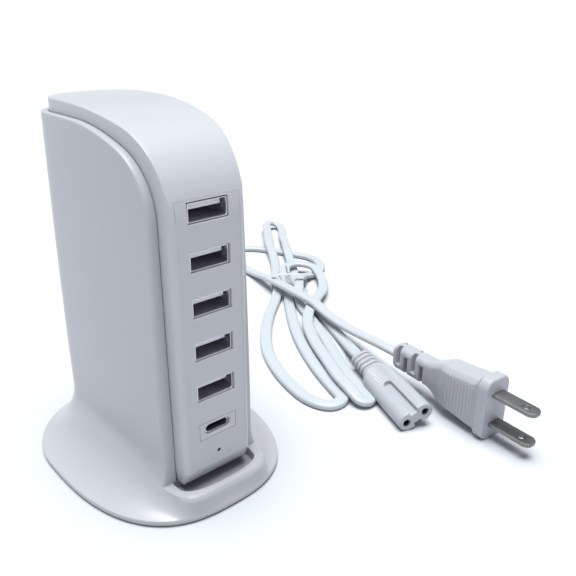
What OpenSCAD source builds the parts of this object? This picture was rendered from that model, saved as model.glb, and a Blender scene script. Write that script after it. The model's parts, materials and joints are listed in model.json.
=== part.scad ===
// Desktop charging tower with five USB-A ports, one USB-C port and a detachable mains lead.
// A narrow inner housing stands in a lofted outer shell that flares into an oval foot.
// Origin: centre of the footprint on the table, Z up, ports face -Y, mirror plane X = 0.

/* [Tower] */
// Height of the inner housing above the table
tower_h = 125; // [115:1:140]
// Greatest width of the inner housing
core_w = 32.6; // [30:0.2:38]
// Front face of the inner housing, measured forward of the origin
front_y = 40; // [36:1:46]
// Centre of the rounded back, measured behind the origin
back_y = 20.8; // [16:0.2:26]
// Radius of the slightly bowed side walls
side_r = 400; // [300:10:600]
// Radius of the front vertical corners
corner_r = 2; // [1:0.5:3]
// Radius where the front turns into the top
brow_r = 25; // [18:1:30]
// Radius of the long arched top
crown_r = 138; // [110:2:180]
// Wall thickness of the inner housing
core_wall = 2.2; // [1.6:0.1:3]
// Underside of the inner housing above the table
core_floor_z = 9.2; // [8:0.2:11]
// Radius under the front edge of the inner housing
chin_r = 4.6; // [3:0.2:6]

/* [Shell] */
// How far the shell stands off the inner housing low down
shell_off = 4.25; // [3.6:0.05:5.5]
// How much thinner the standoff gets towards the top
shell_taper = 1.6; // [0.5:0.1:2]
// Wall thickness of the shell
shell_wall = 2.2; // [1.6:0.1:2.6]
// Running clearance between shell and inner housing
seam_gap = 0.2; // [0.1:0.05:0.4]
// Depth of the flat rim below the arched top
rim_drop = 4.15; // [3:0.05:6]
// Setback of the rim behind the front face
rim_back = 5.4; // [4:0.2:7]
// Radius of the rim brow
rim_brow_r = 20.2; // [15:0.2:24]
// Radius of the rim crown
rim_crown_r = 75; // [60:1:110]
// Thickness of the rim flange that closes onto the inner housing
rim_flange = 2.6; // [2:0.2:4]

/* [Foot] */
// Width of the foot
foot_w = 75.6; // [70:0.2:90]
// Front edge of the foot, forward of the origin
foot_front = 47.5; // [46.5:0.5:54]
// Back edge of the foot, behind the origin
foot_back = 47.5; // [45.5:0.5:54]
// Place of the widest section behind the origin
foot_widest = 16; // [8:1:20]
// Squareness of the front half outline
foot_front_n = 2.8; // [2:0.1:3.2]
// Height of the rounded edge of the foot
foot_edge = 2; // [1.6:0.1:3]
// Height at which the flare starts to leave the wall
flare_h = 26; // [20:1:32]
// Height of the rubber feet under the foot
pad_drop = 0.5; // [0.4:0.1:1]

/* [Slot] */
// Height of the lip around the front slot
lip_z = 9.2; // [8.4:0.2:10]
// Half width of the slot
slot_half_w = 15.3; // [14:0.1:16]
// Front of the slot ahead of the housing face
slot_lead = 4.4; // [3:0.1:4.6]
// Floor of the slot above the table
slot_floor_z = 4.6; // [4:0.2:6]

/* [Ports] */
// Height of the top port centre
port_top_z = 99.5; // [96:0.5:104]
// Distance between neighbouring ports
port_pitch = 14.42; // [13:0.02:15]
// Number of USB-A ports, one node name each
port_count = 5; // [5]
// Width of a port opening in the panel
port_w = 14; // [13.8:0.1:15]
// Height of a port opening in the panel
port_h = 6.4; // [6.2:0.1:7.5]
// Height of the USB-C port centre
usbc_z = 27.6; // [26:0.2:30]
// Height of the status light
led_z = 18.2; // [17:0.2:20]
// Top edge of the front panel
panel_top_z = 103.4; // [103:0.2:108]
// Bottom edge of the front panel
panel_low_z = 14; // [13.8:0.2:15]
// Half width of the front panel
panel_half_w = 10.9; // [10:0.1:11]
// Thickness of the front panel
panel_t = 1.8; // [1.4:0.1:2]

/* [Inlet] */
// Height of the mains inlet centre
inlet_z = 25; // [22:0.5:34]
// Width of the inlet block
inlet_w = 19.6; // [18:0.2:22]
// Height of the inlet block
inlet_h = 11.6; // [10.6:0.2:13]
// Depth of the inlet block
inlet_d = 20; // [16:1:22]
// Spacing of the two mains pins
pin_gap = 8.6; // [8.6]
// Recess of the inlet face into the shell back
inlet_recess = 3.2; // [2:0.1:4]

/* [Lead] */
// Width of the flat twin cord
cord_w = 5.6; // [4.8:0.1:6.2]
// Thickness of the flat twin cord
cord_t = 3; // [2.6:0.1:3.2]
// Length of the mains blades outside the plug
blade_len = 17.5; // [15.9:0.1:18.3]
// Spacing of the mains blades
blade_gap = 12.7; // [12.7]

/* [Hidden] */

arc_fn = 96;
small_fn = 40;
eps = 0.01;

white = "whitesmoke";
trim_white = "gainsboro";
steel = "silver";
black = "dimgray";

// Plan of the inner housing: bowed sides, flat front, round back
apex_y = 14;
half_w = core_w / 2;
side_cx = side_r - half_w;
corner_cy = -front_y + corner_r;
corner_cx = sqrt(pow(side_r - corner_r, 2) - pow(apex_y - corner_cy, 2)) - side_cx;
back_r = sqrt(pow(side_r, 2) - pow(back_y - apex_y, 2)) - side_cx;
core_back = back_y + back_r;
corner_a = asin((corner_cy - apex_y) / (side_r - corner_r));
back_a = asin((back_y - apex_y) / side_r);

// Highest points of the two arches and the radii of their flat tails
crown_y = 10;
rim_crown_y = 5;
tail_r = 600;
rim_tail_r = 900;
rim_top_z = tower_h - rim_drop;
port_zs = [for (i = [0 : port_count - 1]) port_top_z - i * port_pitch];

// Outline stations of the right half: arc centre, radius and normal angle
front_steps = 2;
corner_steps = 5;
side_steps = 8;
back_steps = 7;
right_half = concat(
  [for (i = [0 : front_steps - 1]) [[corner_cx * i / front_steps, corner_cy], corner_r, -90]],
  [for (i = [0 : corner_steps - 1])
    [[corner_cx, corner_cy], corner_r, -90 + (corner_a + 90) * i / corner_steps]],
  [for (i = [0 : side_steps - 1])
    [[-side_cx, apex_y], side_r, corner_a + (back_a - corner_a) * i / side_steps]],
  [for (i = [0 : back_steps]) [[0, back_y], back_r, back_a + (90 - back_a) * i / back_steps]]
);
right_n = len(right_half);
station_n = 2 * right_n - 2;

// Point on the plan outline at a station, moved out by d along its normal
function half_point(i, d) = let (s = right_half[i])
  s[0] + (s[1] + d) * [cos(s[2]), sin(s[2])];
function plan_point(k, d) = k < right_n
  ? half_point(k, d)
  : let (p = half_point(station_n - k, d)) [-p[0], p[1]];

// How squarely a station faces the front, 1 at the front and 0 from the sides on
function facing(k) = let (i = k < right_n ? k : station_n - k)
  pow(max(0, -sin(right_half[i][2])), 2);

// Standoff of the shell at a height, thinner towards the top
taper_from = 30;
taper_span = 90;
function standoff(z) = z <= taper_from
  ? shell_off
  : shell_off - shell_taper * pow((z - taper_from) / taper_span, 1.5);

// Extra bulge of the lip ahead of the slot, rounded over at its top edge
lip_bulge = 1.7;
lip_round = 2.3;
function lip_extra(z) = let (u = min(1, max(0, (z - lip_z + lip_round) / lip_round)))
  lip_bulge - lip_round * (1 - sqrt(1 - pow(0.96 * u, 2)));

// Share of the way from the wall to the foot edge at a height
flare_turn = 0.965;
function flare(z) = let (u = min(1, max(0, (flare_h - z) / (flare_h - pad_drop - foot_edge))))
  (1 - sqrt(1 - pow(flare_turn * u, 2))) / (1 - sqrt(1 - pow(flare_turn, 2)));

// Foot edge seen from the widest section, along the bearing of a wall point
function foot_reach(a, inset) = let (
    ahead = sin(a) < 0,
    n = ahead ? foot_front_n : 2,
    b = (ahead ? foot_front + foot_widest : foot_back - foot_widest) - inset,
    w = foot_w / 2 - inset
  ) 1 / pow(pow(abs(cos(a)) / w, n) + pow(abs(sin(a)) / b, n), 1 / n);
function foot_point(a, inset) = [0, foot_widest] + foot_reach(a, inset) * [cos(a), sin(a)];
function bearing(p) = atan2(p[1] - foot_widest, p[0]);

// Skin point of the shell at a station and height, moved inwards by a depth
function skin_point(k, z, inset) = let (
    wall = plan_point(k, standoff(z) + facing(k) * lip_extra(z) - inset),
    edge = foot_point(bearing(wall), inset)
  ) wall + (edge - wall) * flare(z);
function skin_ring(z, inset) =
  [for (k = [0 : station_n - 1]) let (p = skin_point(k, z, inset)) [p[0], p[1], z]];

// Closed solid through a stack of level rings with equal point counts
module ring_stack(rings) {
  n = len(rings[0]);
  top = (len(rings) - 1) * n;
  low_mid = len(rings) * n;
  points = concat(
    [for (r = rings, p = r) p],
    [[0, foot_widest, rings[0][0][2]], [0, foot_widest, rings[len(rings) - 1][0][2]]]
  );
  sides = [for (a = [0 : top - 1]) let (b = (a + 1) % n == 0 ? a + 1 - n : a + 1)
    each [[a, a + n, b + n], [a, b + n, b]]];
  caps = [for (k = [0 : n - 1]) let (j = (k + 1) % n)
    each [[k, j, low_mid], [top + j, top + k, low_mid + 1]]];
  polyhedron(points, concat(sides, caps));
}

// Side view of an arched tower: flat front, brow arc, crown arc and a flatter tail behind.
// The brow is raised by a hair, so that the two arcs cross instead of only touching.
arc_cross = 0.02;
module arch_profile(front, top, brow, crown, crown_at, tail, low) {
  top_c = top - crown;
  brow_y = front + brow;
  touch_z = top_c + sqrt(pow(crown - brow, 2) - pow(crown_at - brow_y, 2));
  turn = atan2(touch_z - top_c, brow_y - crown_at);
  brow_z = touch_z + arc_cross;
  far = foot_back + 10;
  translate([front, low])
    square([far - front, brow_z - low]);
  intersection() {
    union() {
      arch_top(crown_at, top, crown, front - 1, crown_at, brow_z);
      arch_top(crown_at, top, tail, crown_at, far, brow_z);
    }
    translate([brow_y, brow_z]) {
      circle(r = brow, $fn = 2 * arc_fn);
      rotate(turn)
        translate([-tower_h, -tower_h])
          square([tower_h + brow, tower_h]);
    }
  }
}

// Part of a large circle under its highest point, between two depths
module arch_top(crown_at, top, r, from, to, low) {
  intersection() {
    translate([crown_at, top - r])
      circle(r = r, $fn = 16 * arc_fn);
    translate([from, low - eps])
      square([to - from, top + 1 - low]);
  }
}

// Side view turned upright and extruded across the width
module across(width) {
  translate([-width / 2, 0, 0])
    rotate([90, 0, 90])
      linear_extrude(width)
        children();
}

// Plan outline of the inner housing grown by d
module core_plan(d) {
  intersection() {
    translate([-side_cx, apex_y])
      circle(r = side_r + d, $fn = 8 * arc_fn);
    translate([side_cx, apex_y])
      circle(r = side_r + d, $fn = 8 * arc_fn);
    translate([-core_w, corner_cy])
      square([2 * core_w, back_y - corner_cy]);
  }
  translate([0, back_y])
    circle(r = back_r + d, $fn = arc_fn);
  translate([-corner_cx, -front_y - d])
    square([2 * corner_cx, corner_r + d + 2]);
  for (side = [-1, 1])
    translate([side * corner_cx, corner_cy])
      circle(r = max(corner_r + d, 0.4), $fn = small_fn);
}

// Inner housing form grown by d
module core_form(d) {
  intersection() {
    translate([0, 0, core_floor_z - d])
      linear_extrude(tower_h + d)
        core_plan(d);
    across(2 * core_w)
      core_side(d);
  }
}

// Side view of the inner housing with the round under its front edge
module core_side(d) {
  low = core_floor_z - d;
  r = chin_r + d;
  front = -front_y - d;
  difference() {
    arch_profile(front, tower_h + d, brow_r + d, crown_r + d, crown_y, tail_r + d, low);
    difference() {
      translate([front - 1, low - 1])
        square([r + 1, r + 1]);
      translate([front + r, low + r])
        circle(r = r, $fn = small_fn);
    }
  }
}

// Rounded rectangle centred on the origin
module round_rect(w, h, r) {
  square([w - 2 * r, h], center = true);
  square([w, h - 2 * r], center = true);
  for (x = [-1, 1], y = [-1, 1])
    translate([x * (w / 2 - r), y * (h / 2 - r)])
      circle(r = r, $fn = small_fn);
}

// Stadium centred on the origin
module stadium(w, h) {
  square([w - h, h], center = true);
  for (x = [-1, 1])
    translate([x * (w - h) / 2, 0])
      circle(d = h, $fn = small_fn);
}

// Drawing of the front view placed at depth y and extruded backwards
module from_front(y, depth) {
  translate([0, y + depth, 0])
    rotate([90, 0, 0])
      linear_extrude(depth)
        children();
}

// Outer skin of shell and foot, before the front is opened
edge_steps = [[0, 0.7], [0.2, 0.2], [0.45, 0], [0.8, 0.05], [1, 0.35]];
flare_levels = [3, 3.9, 5.2, 6.9, 8, 8.7, lip_z, 12, 15.5, 20, flare_h];
wall_levels = [taper_from, 52, 74, 96, tower_h - 1];
module outer_skin() {
  foot_rings = [for (e = edge_steps) skin_ring(pad_drop + e[0] * foot_edge, e[1])];
  wall_rings = [for (z = concat(flare_levels, wall_levels)) skin_ring(z, 0)];
  ring_stack(concat(foot_rings, wall_rings));
}

// Space inside the skin, one wall thickness in
roof_t = 1.9;
hollow_levels = [-1, 0.6, 1.3, 2.4, 4.2, 6.6, 10, 14, 19, 24, 30, 52, 74, 96, tower_h - 2];
function hollow_ring(z, gap) =
  [for (k = [0 : station_n - 1]) let (p = skin_point(k, z + roof_t, shell_wall + gap)) [p[0], p[1], z]];
module skin_hollow() {
  ring_stack([for (z = hollow_levels) hollow_ring(z, 0)]);
}

// Region behind and below the rim, set in by d
module rim_region(d) {
  across(2 * foot_w)
    rim_side(d);
}
module rim_side(d) {
  arch_profile(
    -front_y + rim_back + d, rim_top_z - d, rim_brow_r - d, rim_crown_r - d, rim_crown_y, rim_tail_r - d, 0
  );
}

// The same region with all of the foot below the deck added
module rim_region_low(d) {
  across(2 * foot_w) {
    rim_side(d);
    translate([-foot_w, -2])
      square([2 * foot_w, deck_low + 2]);
  }
}

// Outline of the slot: squarish arc in front, straight where it meets the shell
slot_n = 2.45;
slot_mid_y = -37;
slot_steps = 16;
module slot_outline(d) {
  reach = front_y + slot_lead + slot_mid_y + d;
  half = slot_half_w + d;
  back = -front_y + rim_back + d;
  polygon(concat(
    [[half, back]],
    [for (i = [0 : slot_steps]) let (a = -180 * i / slot_steps, c = cos(a), s = sin(a))
      [half * sign(c) * pow(abs(c), 2 / slot_n), slot_mid_y - reach * pow(abs(s), 2 / slot_n)]],
    [[-half, back]]
  ));
}

// Screw posts between the deck and the base cover
deck_t = 2.4;
deck_low = core_floor_z - deck_t;
cover_low = 0.8;
cover_top = 2.4;
post_places = [for (x = [-1, 1], y = [-24, 27]) [x * 12, y]];
core_screw_places = [for (y = [-20, 16]) [0, y]];
pilot_d = 2.2;
post_d = 6;
core_screw_hole_d = 3;
core_post_h = 7;
pan_wall = 1.8;
inlet_face_y = core_back + shell_off - inlet_recess;
inlet_fit = 0.1;
inlet_round = 1;
inlet_pocket_w = inlet_w + 2;
inlet_pocket_h = inlet_h + 4;
inlet_pocket_r = 2.5;

module outer_shell() {
  color(white)
    difference() {
      intersection() {
        outer_skin();
        union() {
          rim_region(0);
          translate([-foot_w, -foot_w, 0])
            cube([2 * foot_w, 2 * foot_w, lip_z]);
        }
      }
      shell_core_pocket();
      shell_hollow();
      shell_slot();
      shell_inlet_window();
      shell_screw_holes();
    }
}

module shell_core_pocket() {
  translate([0, 0, core_floor_z])
    linear_extrude(tower_h)
      core_plan(seam_gap);
}

module shell_hollow() {
  difference() {
    intersection() {
      skin_hollow();
      rim_region_low(rim_flange);
    }
    translate([-foot_w, -foot_w, deck_low])
      cube([2 * foot_w, 2 * foot_w, deck_t]);
    translate([0, 0, slot_floor_z - pan_wall])
      linear_extrude(lip_z)
        slot_outline(pan_wall);
    for (p = post_places)
      translate([p[0], p[1], cover_top])
        cylinder(h = deck_low, d = post_d, $fn = small_fn);
  }
}

module shell_slot() {
  translate([0, 0, slot_floor_z])
    linear_extrude(lip_z)
      slot_outline(0);
}

module shell_inlet_window() {
  translate([0, 0, inlet_z])
    from_front(back_y, foot_back)
      round_rect(inlet_w + 2 * inlet_fit, inlet_h + 2 * inlet_fit, inlet_round + inlet_fit);
  translate([0, 0, inlet_z])
    from_front(inlet_face_y, foot_back)
      round_rect(inlet_pocket_w, inlet_pocket_h, inlet_pocket_r);
}

module shell_screw_holes() {
  for (p = post_places)
    translate([p[0], p[1], cover_top - 1])
      cylinder(h = deck_low - cover_top + 1, d = pilot_d, $fn = small_fn);
  for (p = core_screw_places)
    translate([p[0], p[1], 0])
      cylinder(h = core_floor_z + 1, d = core_screw_hole_d, $fn = small_fn);
}

// Inner housing: hollow tower with a rebated window for the front panel
ledge = 1.5;
module core_housing() {
  color(white)
    difference() {
      union() {
        difference() {
          core_form(0);
          core_cavity();
        }
        core_posts();
      }
      core_panel_window();
      core_inlet_window();
      for (p = core_screw_places)
        translate([p[0], p[1], core_floor_z - 1])
          cylinder(h = core_post_h + 1, d = pilot_d, $fn = small_fn);
    }
}

module core_cavity() {
  intersection() {
    translate([0, 0, core_floor_z + core_wall])
      linear_extrude(tower_h)
        core_plan(-core_wall);
    across(2 * core_w)
      core_side(-core_wall);
  }
}

module core_posts() {
  for (p = core_screw_places)
    translate([p[0], p[1], core_floor_z])
      cylinder(h = core_post_h, d = post_d, $fn = small_fn);
}

module core_panel_window() {
  mid_z = (panel_top_z + panel_low_z) / 2;
  span_z = panel_top_z - panel_low_z;
  translate([0, 0, mid_z])
    from_front(-front_y - 1, panel_t + 1)
      square([2 * panel_half_w, span_z], center = true);
  translate([0, 0, mid_z])
    from_front(-front_y - 1, core_wall + 2)
      square([2 * (panel_half_w - ledge), span_z - 2 * ledge], center = true);
}

module core_inlet_window() {
  translate([0, 0, inlet_z])
    from_front(back_y, foot_back)
      round_rect(inlet_w + 2 * inlet_fit, inlet_h + 2 * inlet_fit, inlet_round + inlet_fit);
}

// Front panel with its row of openings
panel_fit = 0.05;
bezel_w = 13.9;
bezel_h = 6;
led_hole_d = 1.1;
module front_panel() {
  mid_z = (panel_top_z + panel_low_z) / 2;
  face_w = 2 * (panel_half_w - panel_fit);
  face_h = panel_top_z - panel_low_z - 2 * panel_fit;
  color(trim_white)
    difference() {
      intersection() {
        core_form(0);
        translate([0, 0, mid_z])
          from_front(-front_y - 1, panel_t + 1)
            square([face_w, face_h], center = true);
      }
      for (z = port_zs)
        translate([0, 0, z])
          from_front(-front_y - 1, panel_t + 2)
            round_rect(port_w, port_h, 0.25);
      translate([0, 0, usbc_z])
        from_front(-front_y - 1, panel_t + 2)
          square([bezel_w, bezel_h], center = true);
      translate([0, 0, led_z])
        from_front(-front_y - 1, panel_t + 2)
          circle(d = led_hole_d, $fn = small_fn);
    }
}

// Insert plate around the USB-C mouth, with a stepped edge behind the panel
usbc_hole_w = 9.5;
usbc_hole_h = 3.5;
bezel_lip = 1.2;
module usb_c_bezel() {
  color(trim_white)
    translate([0, 0, usbc_z])
      difference() {
        union() {
          from_front(-front_y, panel_t)
            square([bezel_w - 2 * panel_fit, bezel_h - 2 * panel_fit], center = true);
          from_front(-front_y + panel_t, 1)
            square([bezel_w + 2 * bezel_lip, bezel_h + 2 * bezel_lip], center = true);
        }
        from_front(-front_y - 1, panel_t + 3)
          stadium(usbc_hole_w, usbc_hole_h);
      }
}

// Depths shared by the port pieces
port_board_y = -24;
board_t = 1.6;
port_shell_front = -front_y + panel_t;
port_shell_len = port_board_y - port_shell_front;
port_shell_w = 13.5;
port_shell_h = 5.9;
port_shell_t = 0.35;
spring_x = 3.2;
tab_x = 4.4;
tab_w = 1.6;
tab_t = 0.5;

// Folded metal shell of one USB-A port
module usb_a_shell(z) {
  color(steel)
    translate([0, 0, z]) {
      difference() {
        from_front(port_shell_front, port_shell_len)
          round_rect(port_shell_w, port_shell_h, 0.6);
        from_front(port_shell_front - 1, port_shell_len + 2)
          round_rect(port_shell_w - 2 * port_shell_t, port_shell_h - 2 * port_shell_t, 0.3);
        for (x = [-1, 1])
          translate([x * spring_x, 0, 0])
            usb_a_spring_slot();
      }
      for (x = [-1, 1])
        translate([x * tab_x, 0, 0])
          from_front(port_board_y - eps, board_t + 1)
            translate([0, -port_shell_h / 2 + tab_t])
              square([tab_w, tab_t], center = true);
    }
}

// U-shaped cut that frees a spring finger in the roof and floor of the shell
module usb_a_spring_slot() {
  slot_w = 0.5;
  finger_w = 1.8;
  finger_len = 5;
  root_y = port_shell_front + 3;
  for (side = [-1, 1])
    translate([side * (finger_w + slot_w) / 2, root_y + finger_len / 2, 0])
      cube([slot_w, finger_len, port_shell_h + 1], center = true);
  translate([0, root_y + finger_len, 0])
    cube([finger_w + 2 * slot_w, slot_w, port_shell_h + 1], center = true);
}

// Insulator of one USB-A port: back block and contact tongue
tongue_w = 11.1;
tongue_t = 1.84;
tongue_lift = 0.9;
tongue_len = 9;
block_len = 4.2;
tongue_front = port_board_y - block_len - tongue_len;
module usb_a_tongue(z) {
  block_w = port_shell_w - 2 * port_shell_t;
  block_h = port_shell_h - 2 * port_shell_t;
  color(black)
    translate([0, 0, z]) {
      from_front(port_board_y - block_len, block_len)
        square([block_w, block_h], center = true);
      from_front(tongue_front, tongue_len + eps)
        translate([0, tongue_lift])
          round_rect(tongue_w, tongue_t, 0.3);
    }
}

// Four contact strips under each USB-A tongue, with tails through the board
contact_w = 1;
contact_t = 0.15;
contact_xs = [-3.5, -1, 1, 3.5];
module port_contacts() {
  color("gold")
    for (z = port_zs, x = contact_xs)
      translate([x, 0, z]) {
        from_front(tongue_front + 0.8, tongue_len - 0.8)
          translate([0, tongue_lift - tongue_t / 2 - contact_t / 2])
            square([contact_w, contact_t], center = true);
        from_front(port_board_y + board_t, 1)
          square([contact_w * 0.6, contact_w * 0.6], center = true);
      }
}

// USB-C port: drawn shell and thin tongue
usbc_shell_w = 8.94;
usbc_shell_h = 3.16;
usbc_shell_t = 0.3;
usbc_shell_front = -front_y + 1;
module usb_c_shell() {
  color(steel)
    translate([0, 0, usbc_z])
      difference() {
        from_front(usbc_shell_front, port_board_y - usbc_shell_front)
          stadium(usbc_shell_w, usbc_shell_h);
        from_front(usbc_shell_front - 1, port_board_y - usbc_shell_front + 2)
          stadium(usbc_shell_w - 2 * usbc_shell_t, usbc_shell_h - 2 * usbc_shell_t);
      }
}

usbc_block_len = 8;
usbc_tongue_len = 5;
usbc_tongue_w = 6.7;
usbc_tongue_t = 0.7;
module usb_c_tongue() {
  color(black)
    translate([0, 0, usbc_z]) {
      from_front(port_board_y - usbc_block_len, usbc_block_len)
        stadium(usbc_shell_w - 2 * usbc_shell_t, usbc_shell_h - 2 * usbc_shell_t);
      from_front(port_board_y - usbc_block_len - usbc_tongue_len, usbc_tongue_len + eps)
        round_rect(usbc_tongue_w, usbc_tongue_t, 0.3);
    }
}

// Light pipe from the port board to the pinhole in the panel
light_pipe_d = 3;
light_recess = 0.3;
module status_light() {
  color("honeydew")
    translate([0, 0, led_z]) {
      from_front(-front_y + light_recess, panel_t)
        circle(d = led_hole_d - 0.1, $fn = small_fn);
      from_front(-front_y + panel_t, port_board_y + front_y - panel_t)
        circle(d = light_pipe_d, $fn = small_fn);
    }
}

// Board behind the ports, standing on the floor of the inner housing
port_board_w = 24;
port_board_top = 110;
module port_board() {
  low = core_floor_z + core_wall;
  color("darkgreen")
    difference() {
      translate([-port_board_w / 2, port_board_y, low])
        cube([port_board_w, board_t, port_board_top - low]);
      for (z = port_zs, x = [-1, 1])
        translate([x * tab_x, 0, z - port_shell_h / 2 + tab_t])
          from_front(port_board_y - 1, board_t + 2)
            square([tab_w + 0.2, tab_t + 0.2], center = true);
    }
}

// Upright power board beside the left wall, with its parts reaching across
mains_x = -10.4;
mains_front = -20.5;
mains_back = 27.5;
mains_top = 112;
module mains_board() {
  low = core_floor_z + core_wall;
  color("darkgreen")
    translate([mains_x - board_t, mains_front, low])
      cube([board_t, mains_back - mains_front, mains_top - low]);
}

// Pin header that carries the low voltage from the power board to the port board
link_low = 88;
link_h = 18;
link_w = 2.4;
module board_link() {
  gap_y = mains_front - port_board_y - board_t;
  color(black) {
    translate([mains_x - board_t, port_board_y + board_t, link_low])
      cube([board_t + link_w, gap_y, link_h]);
    translate([mains_x, mains_front - eps, link_low])
      cube([link_w, link_w, link_h]);
  }
}

// Switching transformer: ferrite frame around a taped winding
transformer_at = [6, 76];
ferrite_x = 13;
ferrite_y = 25;
ferrite_z = 22;
ferrite_leg = 5;
bobbin_t = 4;
winding_d = 11.2;
winding_len = 20;
module transformer() {
  color(black)
    translate([mains_x + bobbin_t, transformer_at[0], transformer_at[1]])
      difference() {
        translate([0, -ferrite_y / 2, -ferrite_z / 2])
          cube([ferrite_x, ferrite_y, ferrite_z]);
        translate([-1, -ferrite_y / 2 + ferrite_leg, -ferrite_z / 2 + ferrite_leg])
          cube([ferrite_x + 2, ferrite_y - 2 * ferrite_leg, ferrite_z - 2 * ferrite_leg]);
      }
  color("goldenrod")
    translate([mains_x, transformer_at[0], transformer_at[1]])
      rotate([0, 90, 0])
        cylinder(h = winding_len, d = winding_d, $fn = small_fn);
  color(black)
    translate([mains_x, transformer_at[0] - ferrite_y / 2 + 1, transformer_at[1] - ferrite_z / 2 + 1])
      cube([bobbin_t + eps, ferrite_y - 2, ferrite_z - 2]);
}

// Bulk electrolytic capacitors standing on the power board
bulk_d = 13;
bulk_len = 20;
bulk_places = [[-12, 46], [3, 46], [18, 46]];
module bulk_capacitors() {
  color("navy")
    for (p = bulk_places)
      translate([mains_x, p[0], p[1]])
        rotate([0, 90, 0])
          difference() {
            cylinder(h = bulk_len, d = bulk_d, $fn = small_fn);
            translate([0, 0, 1.6])
              rotate_extrude($fn = small_fn)
                translate([bulk_d / 2 + 0.2, 0])
                  circle(r = 0.6, $fn = 16);
          }
}

// Ring-core mains filter choke on its base
choke_at = [2, 27];
choke_ring_r = 6.6;
choke_wind_d = 6.4;
choke_base_t = 7;
choke_base_w = 14;
module line_choke() {
  color("darkorange")
    translate([mains_x + choke_base_t + 2, choke_at[0], choke_at[1]])
      rotate([0, 90, 0])
        rotate_extrude($fn = small_fn)
          translate([choke_ring_r, 0])
            circle(d = choke_wind_d, $fn = 24);
  color(black)
    translate([mains_x, choke_at[0] - choke_base_w / 2, choke_at[1] - choke_base_w / 2])
      cube([choke_base_t, choke_base_w, choke_base_w]);
}

// Finned heat sink of the rectifier
sink_at = [-17, 62];
sink_h = 40;
sink_w = 20;
sink_t = 2;
fin_pitch = 4;
fin_t = 1;
fin_depth = 6;
module heat_sink() {
  color(steel)
    translate([mains_x, sink_at[0], sink_at[1]]) {
      cube([sink_w, sink_t, sink_h]);
      for (x = [fin_pitch - fin_t : fin_pitch : sink_w - fin_t])
        translate([x, sink_t / 2, 0])
          cube([fin_t, fin_depth, sink_h]);
    }
}

// Mains inlet block with its double-round cavity
inlet_lobe_r = 3.9;
inlet_lobe_x = 3.6;
inlet_depth = 15;
module inlet_outline(d) {
  square([2 * inlet_lobe_x, 2 * (inlet_lobe_r - 0.8 + d)], center = true);
  for (side = [-1, 1])
    translate([side * inlet_lobe_x, 0])
      circle(r = inlet_lobe_r + d, $fn = small_fn);
}
module ac_inlet() {
  color(black)
    translate([0, 0, inlet_z])
      difference() {
        from_front(inlet_face_y - inlet_d, inlet_d)
          round_rect(inlet_w, inlet_h, inlet_round);
        from_front(inlet_face_y - inlet_depth, inlet_depth + 1)
          inlet_outline(0);
        for (side = [-1, 1])
          translate([side * pin_gap / 2, 0, 0])
            from_front(inlet_face_y - inlet_d - 1, inlet_d)
              circle(d = inlet_pin_d, $fn = small_fn);
      }
}

// Two round mains pins with bus strips to the power board
inlet_pin_d = 2.36;
pin_tip_back = 4.5;
pin_tail = 3;
strip_w = 2.4;
strip_t = 0.6;
strip_offset = 3;
module inlet_pins() {
  color(steel)
    for (side = [-1, 1]) {
      pin_x = side * pin_gap / 2;
      tail_y = inlet_face_y - inlet_d - pin_tail;
      strip_y = tail_y + (1 - side) * strip_t;
      translate([pin_x, 0, inlet_z])
        from_front(tail_y, inlet_face_y - pin_tip_back - tail_y)
          circle(d = inlet_pin_d, $fn = small_fn);
      translate([mains_x, strip_y, inlet_z - strip_w / 2 + side * strip_offset])
        cube([pin_x - mains_x + 1, strip_t, strip_w]);
      translate([pin_x - 1, strip_y, inlet_z + (side - 1) / 2 * strip_offset - strip_w / 2])
        cube([2, strip_t, strip_offset + strip_w]);
    }
}

// Base cover under the foot, with recesses for the feet and screw heads
cover_gap = 0.3;
pad_d = 9;
pad_places = [for (x = [-1, 1]) each [[x * 22, -30], [x * 20, 33]]];
pad_seat = cover_low + 0.5;
pad_fit = 0.2;
screw_head_d = 4.6;
screw_head_h = 0.8;
screw_head_fit = 0.4;
screw_clear_d = 2.8;
module base_cover() {
  levels = [cover_low, 1.3, 1.9, cover_top];
  color(trim_white)
    difference() {
      ring_stack([for (z = levels) hollow_ring(z, cover_gap)]);
      for (p = pad_places)
        translate([p[0], p[1], 0])
          cylinder(h = pad_seat, d = pad_d + pad_fit, $fn = small_fn);
      for (p = post_places) {
        translate([p[0], p[1], 0])
          cylinder(h = cover_low + screw_head_h, d = screw_head_d + screw_head_fit, $fn = small_fn);
        translate([p[0], p[1], 0])
          cylinder(h = cover_top + 1, d = screw_clear_d, $fn = small_fn);
      }
    }
}

module rubber_feet() {
  color("lightgray")
    for (p = pad_places)
      translate([p[0], p[1], 0])
        cylinder(h = pad_seat, d = pad_d, $fn = small_fn);
}

// Cross-head screw pointing up, head underneath at z = 0
cross_w = 0.6;
cross_depth = 0.6;
module screw(head_d, head_h, shank_d, length) {
  difference() {
    cylinder(h = head_h, d = head_d, $fn = small_fn);
    for (a = [0, 90])
      rotate(a)
        translate([-head_d / 3, -cross_w / 2, -1])
          cube([2 * head_d / 3, cross_w, cross_depth + 1]);
  }
  cylinder(h = length, d = shank_d, $fn = small_fn);
}

screw_len = 6;
module base_screws() {
  color(steel)
    for (p = post_places)
      translate([p[0], p[1], cover_low])
        screw(screw_head_d, screw_head_h, pilot_d, screw_len);
}

core_screw_head_d = 5;
core_screw_head_h = 1.6;
module core_screws() {
  color(steel)
    for (p = core_screw_places)
      translate([p[0], p[1], deck_low - core_screw_head_h])
        screw(core_screw_head_d, core_screw_head_h, pilot_d, core_screw_head_h + deck_t + core_post_h - 1);
}

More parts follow.
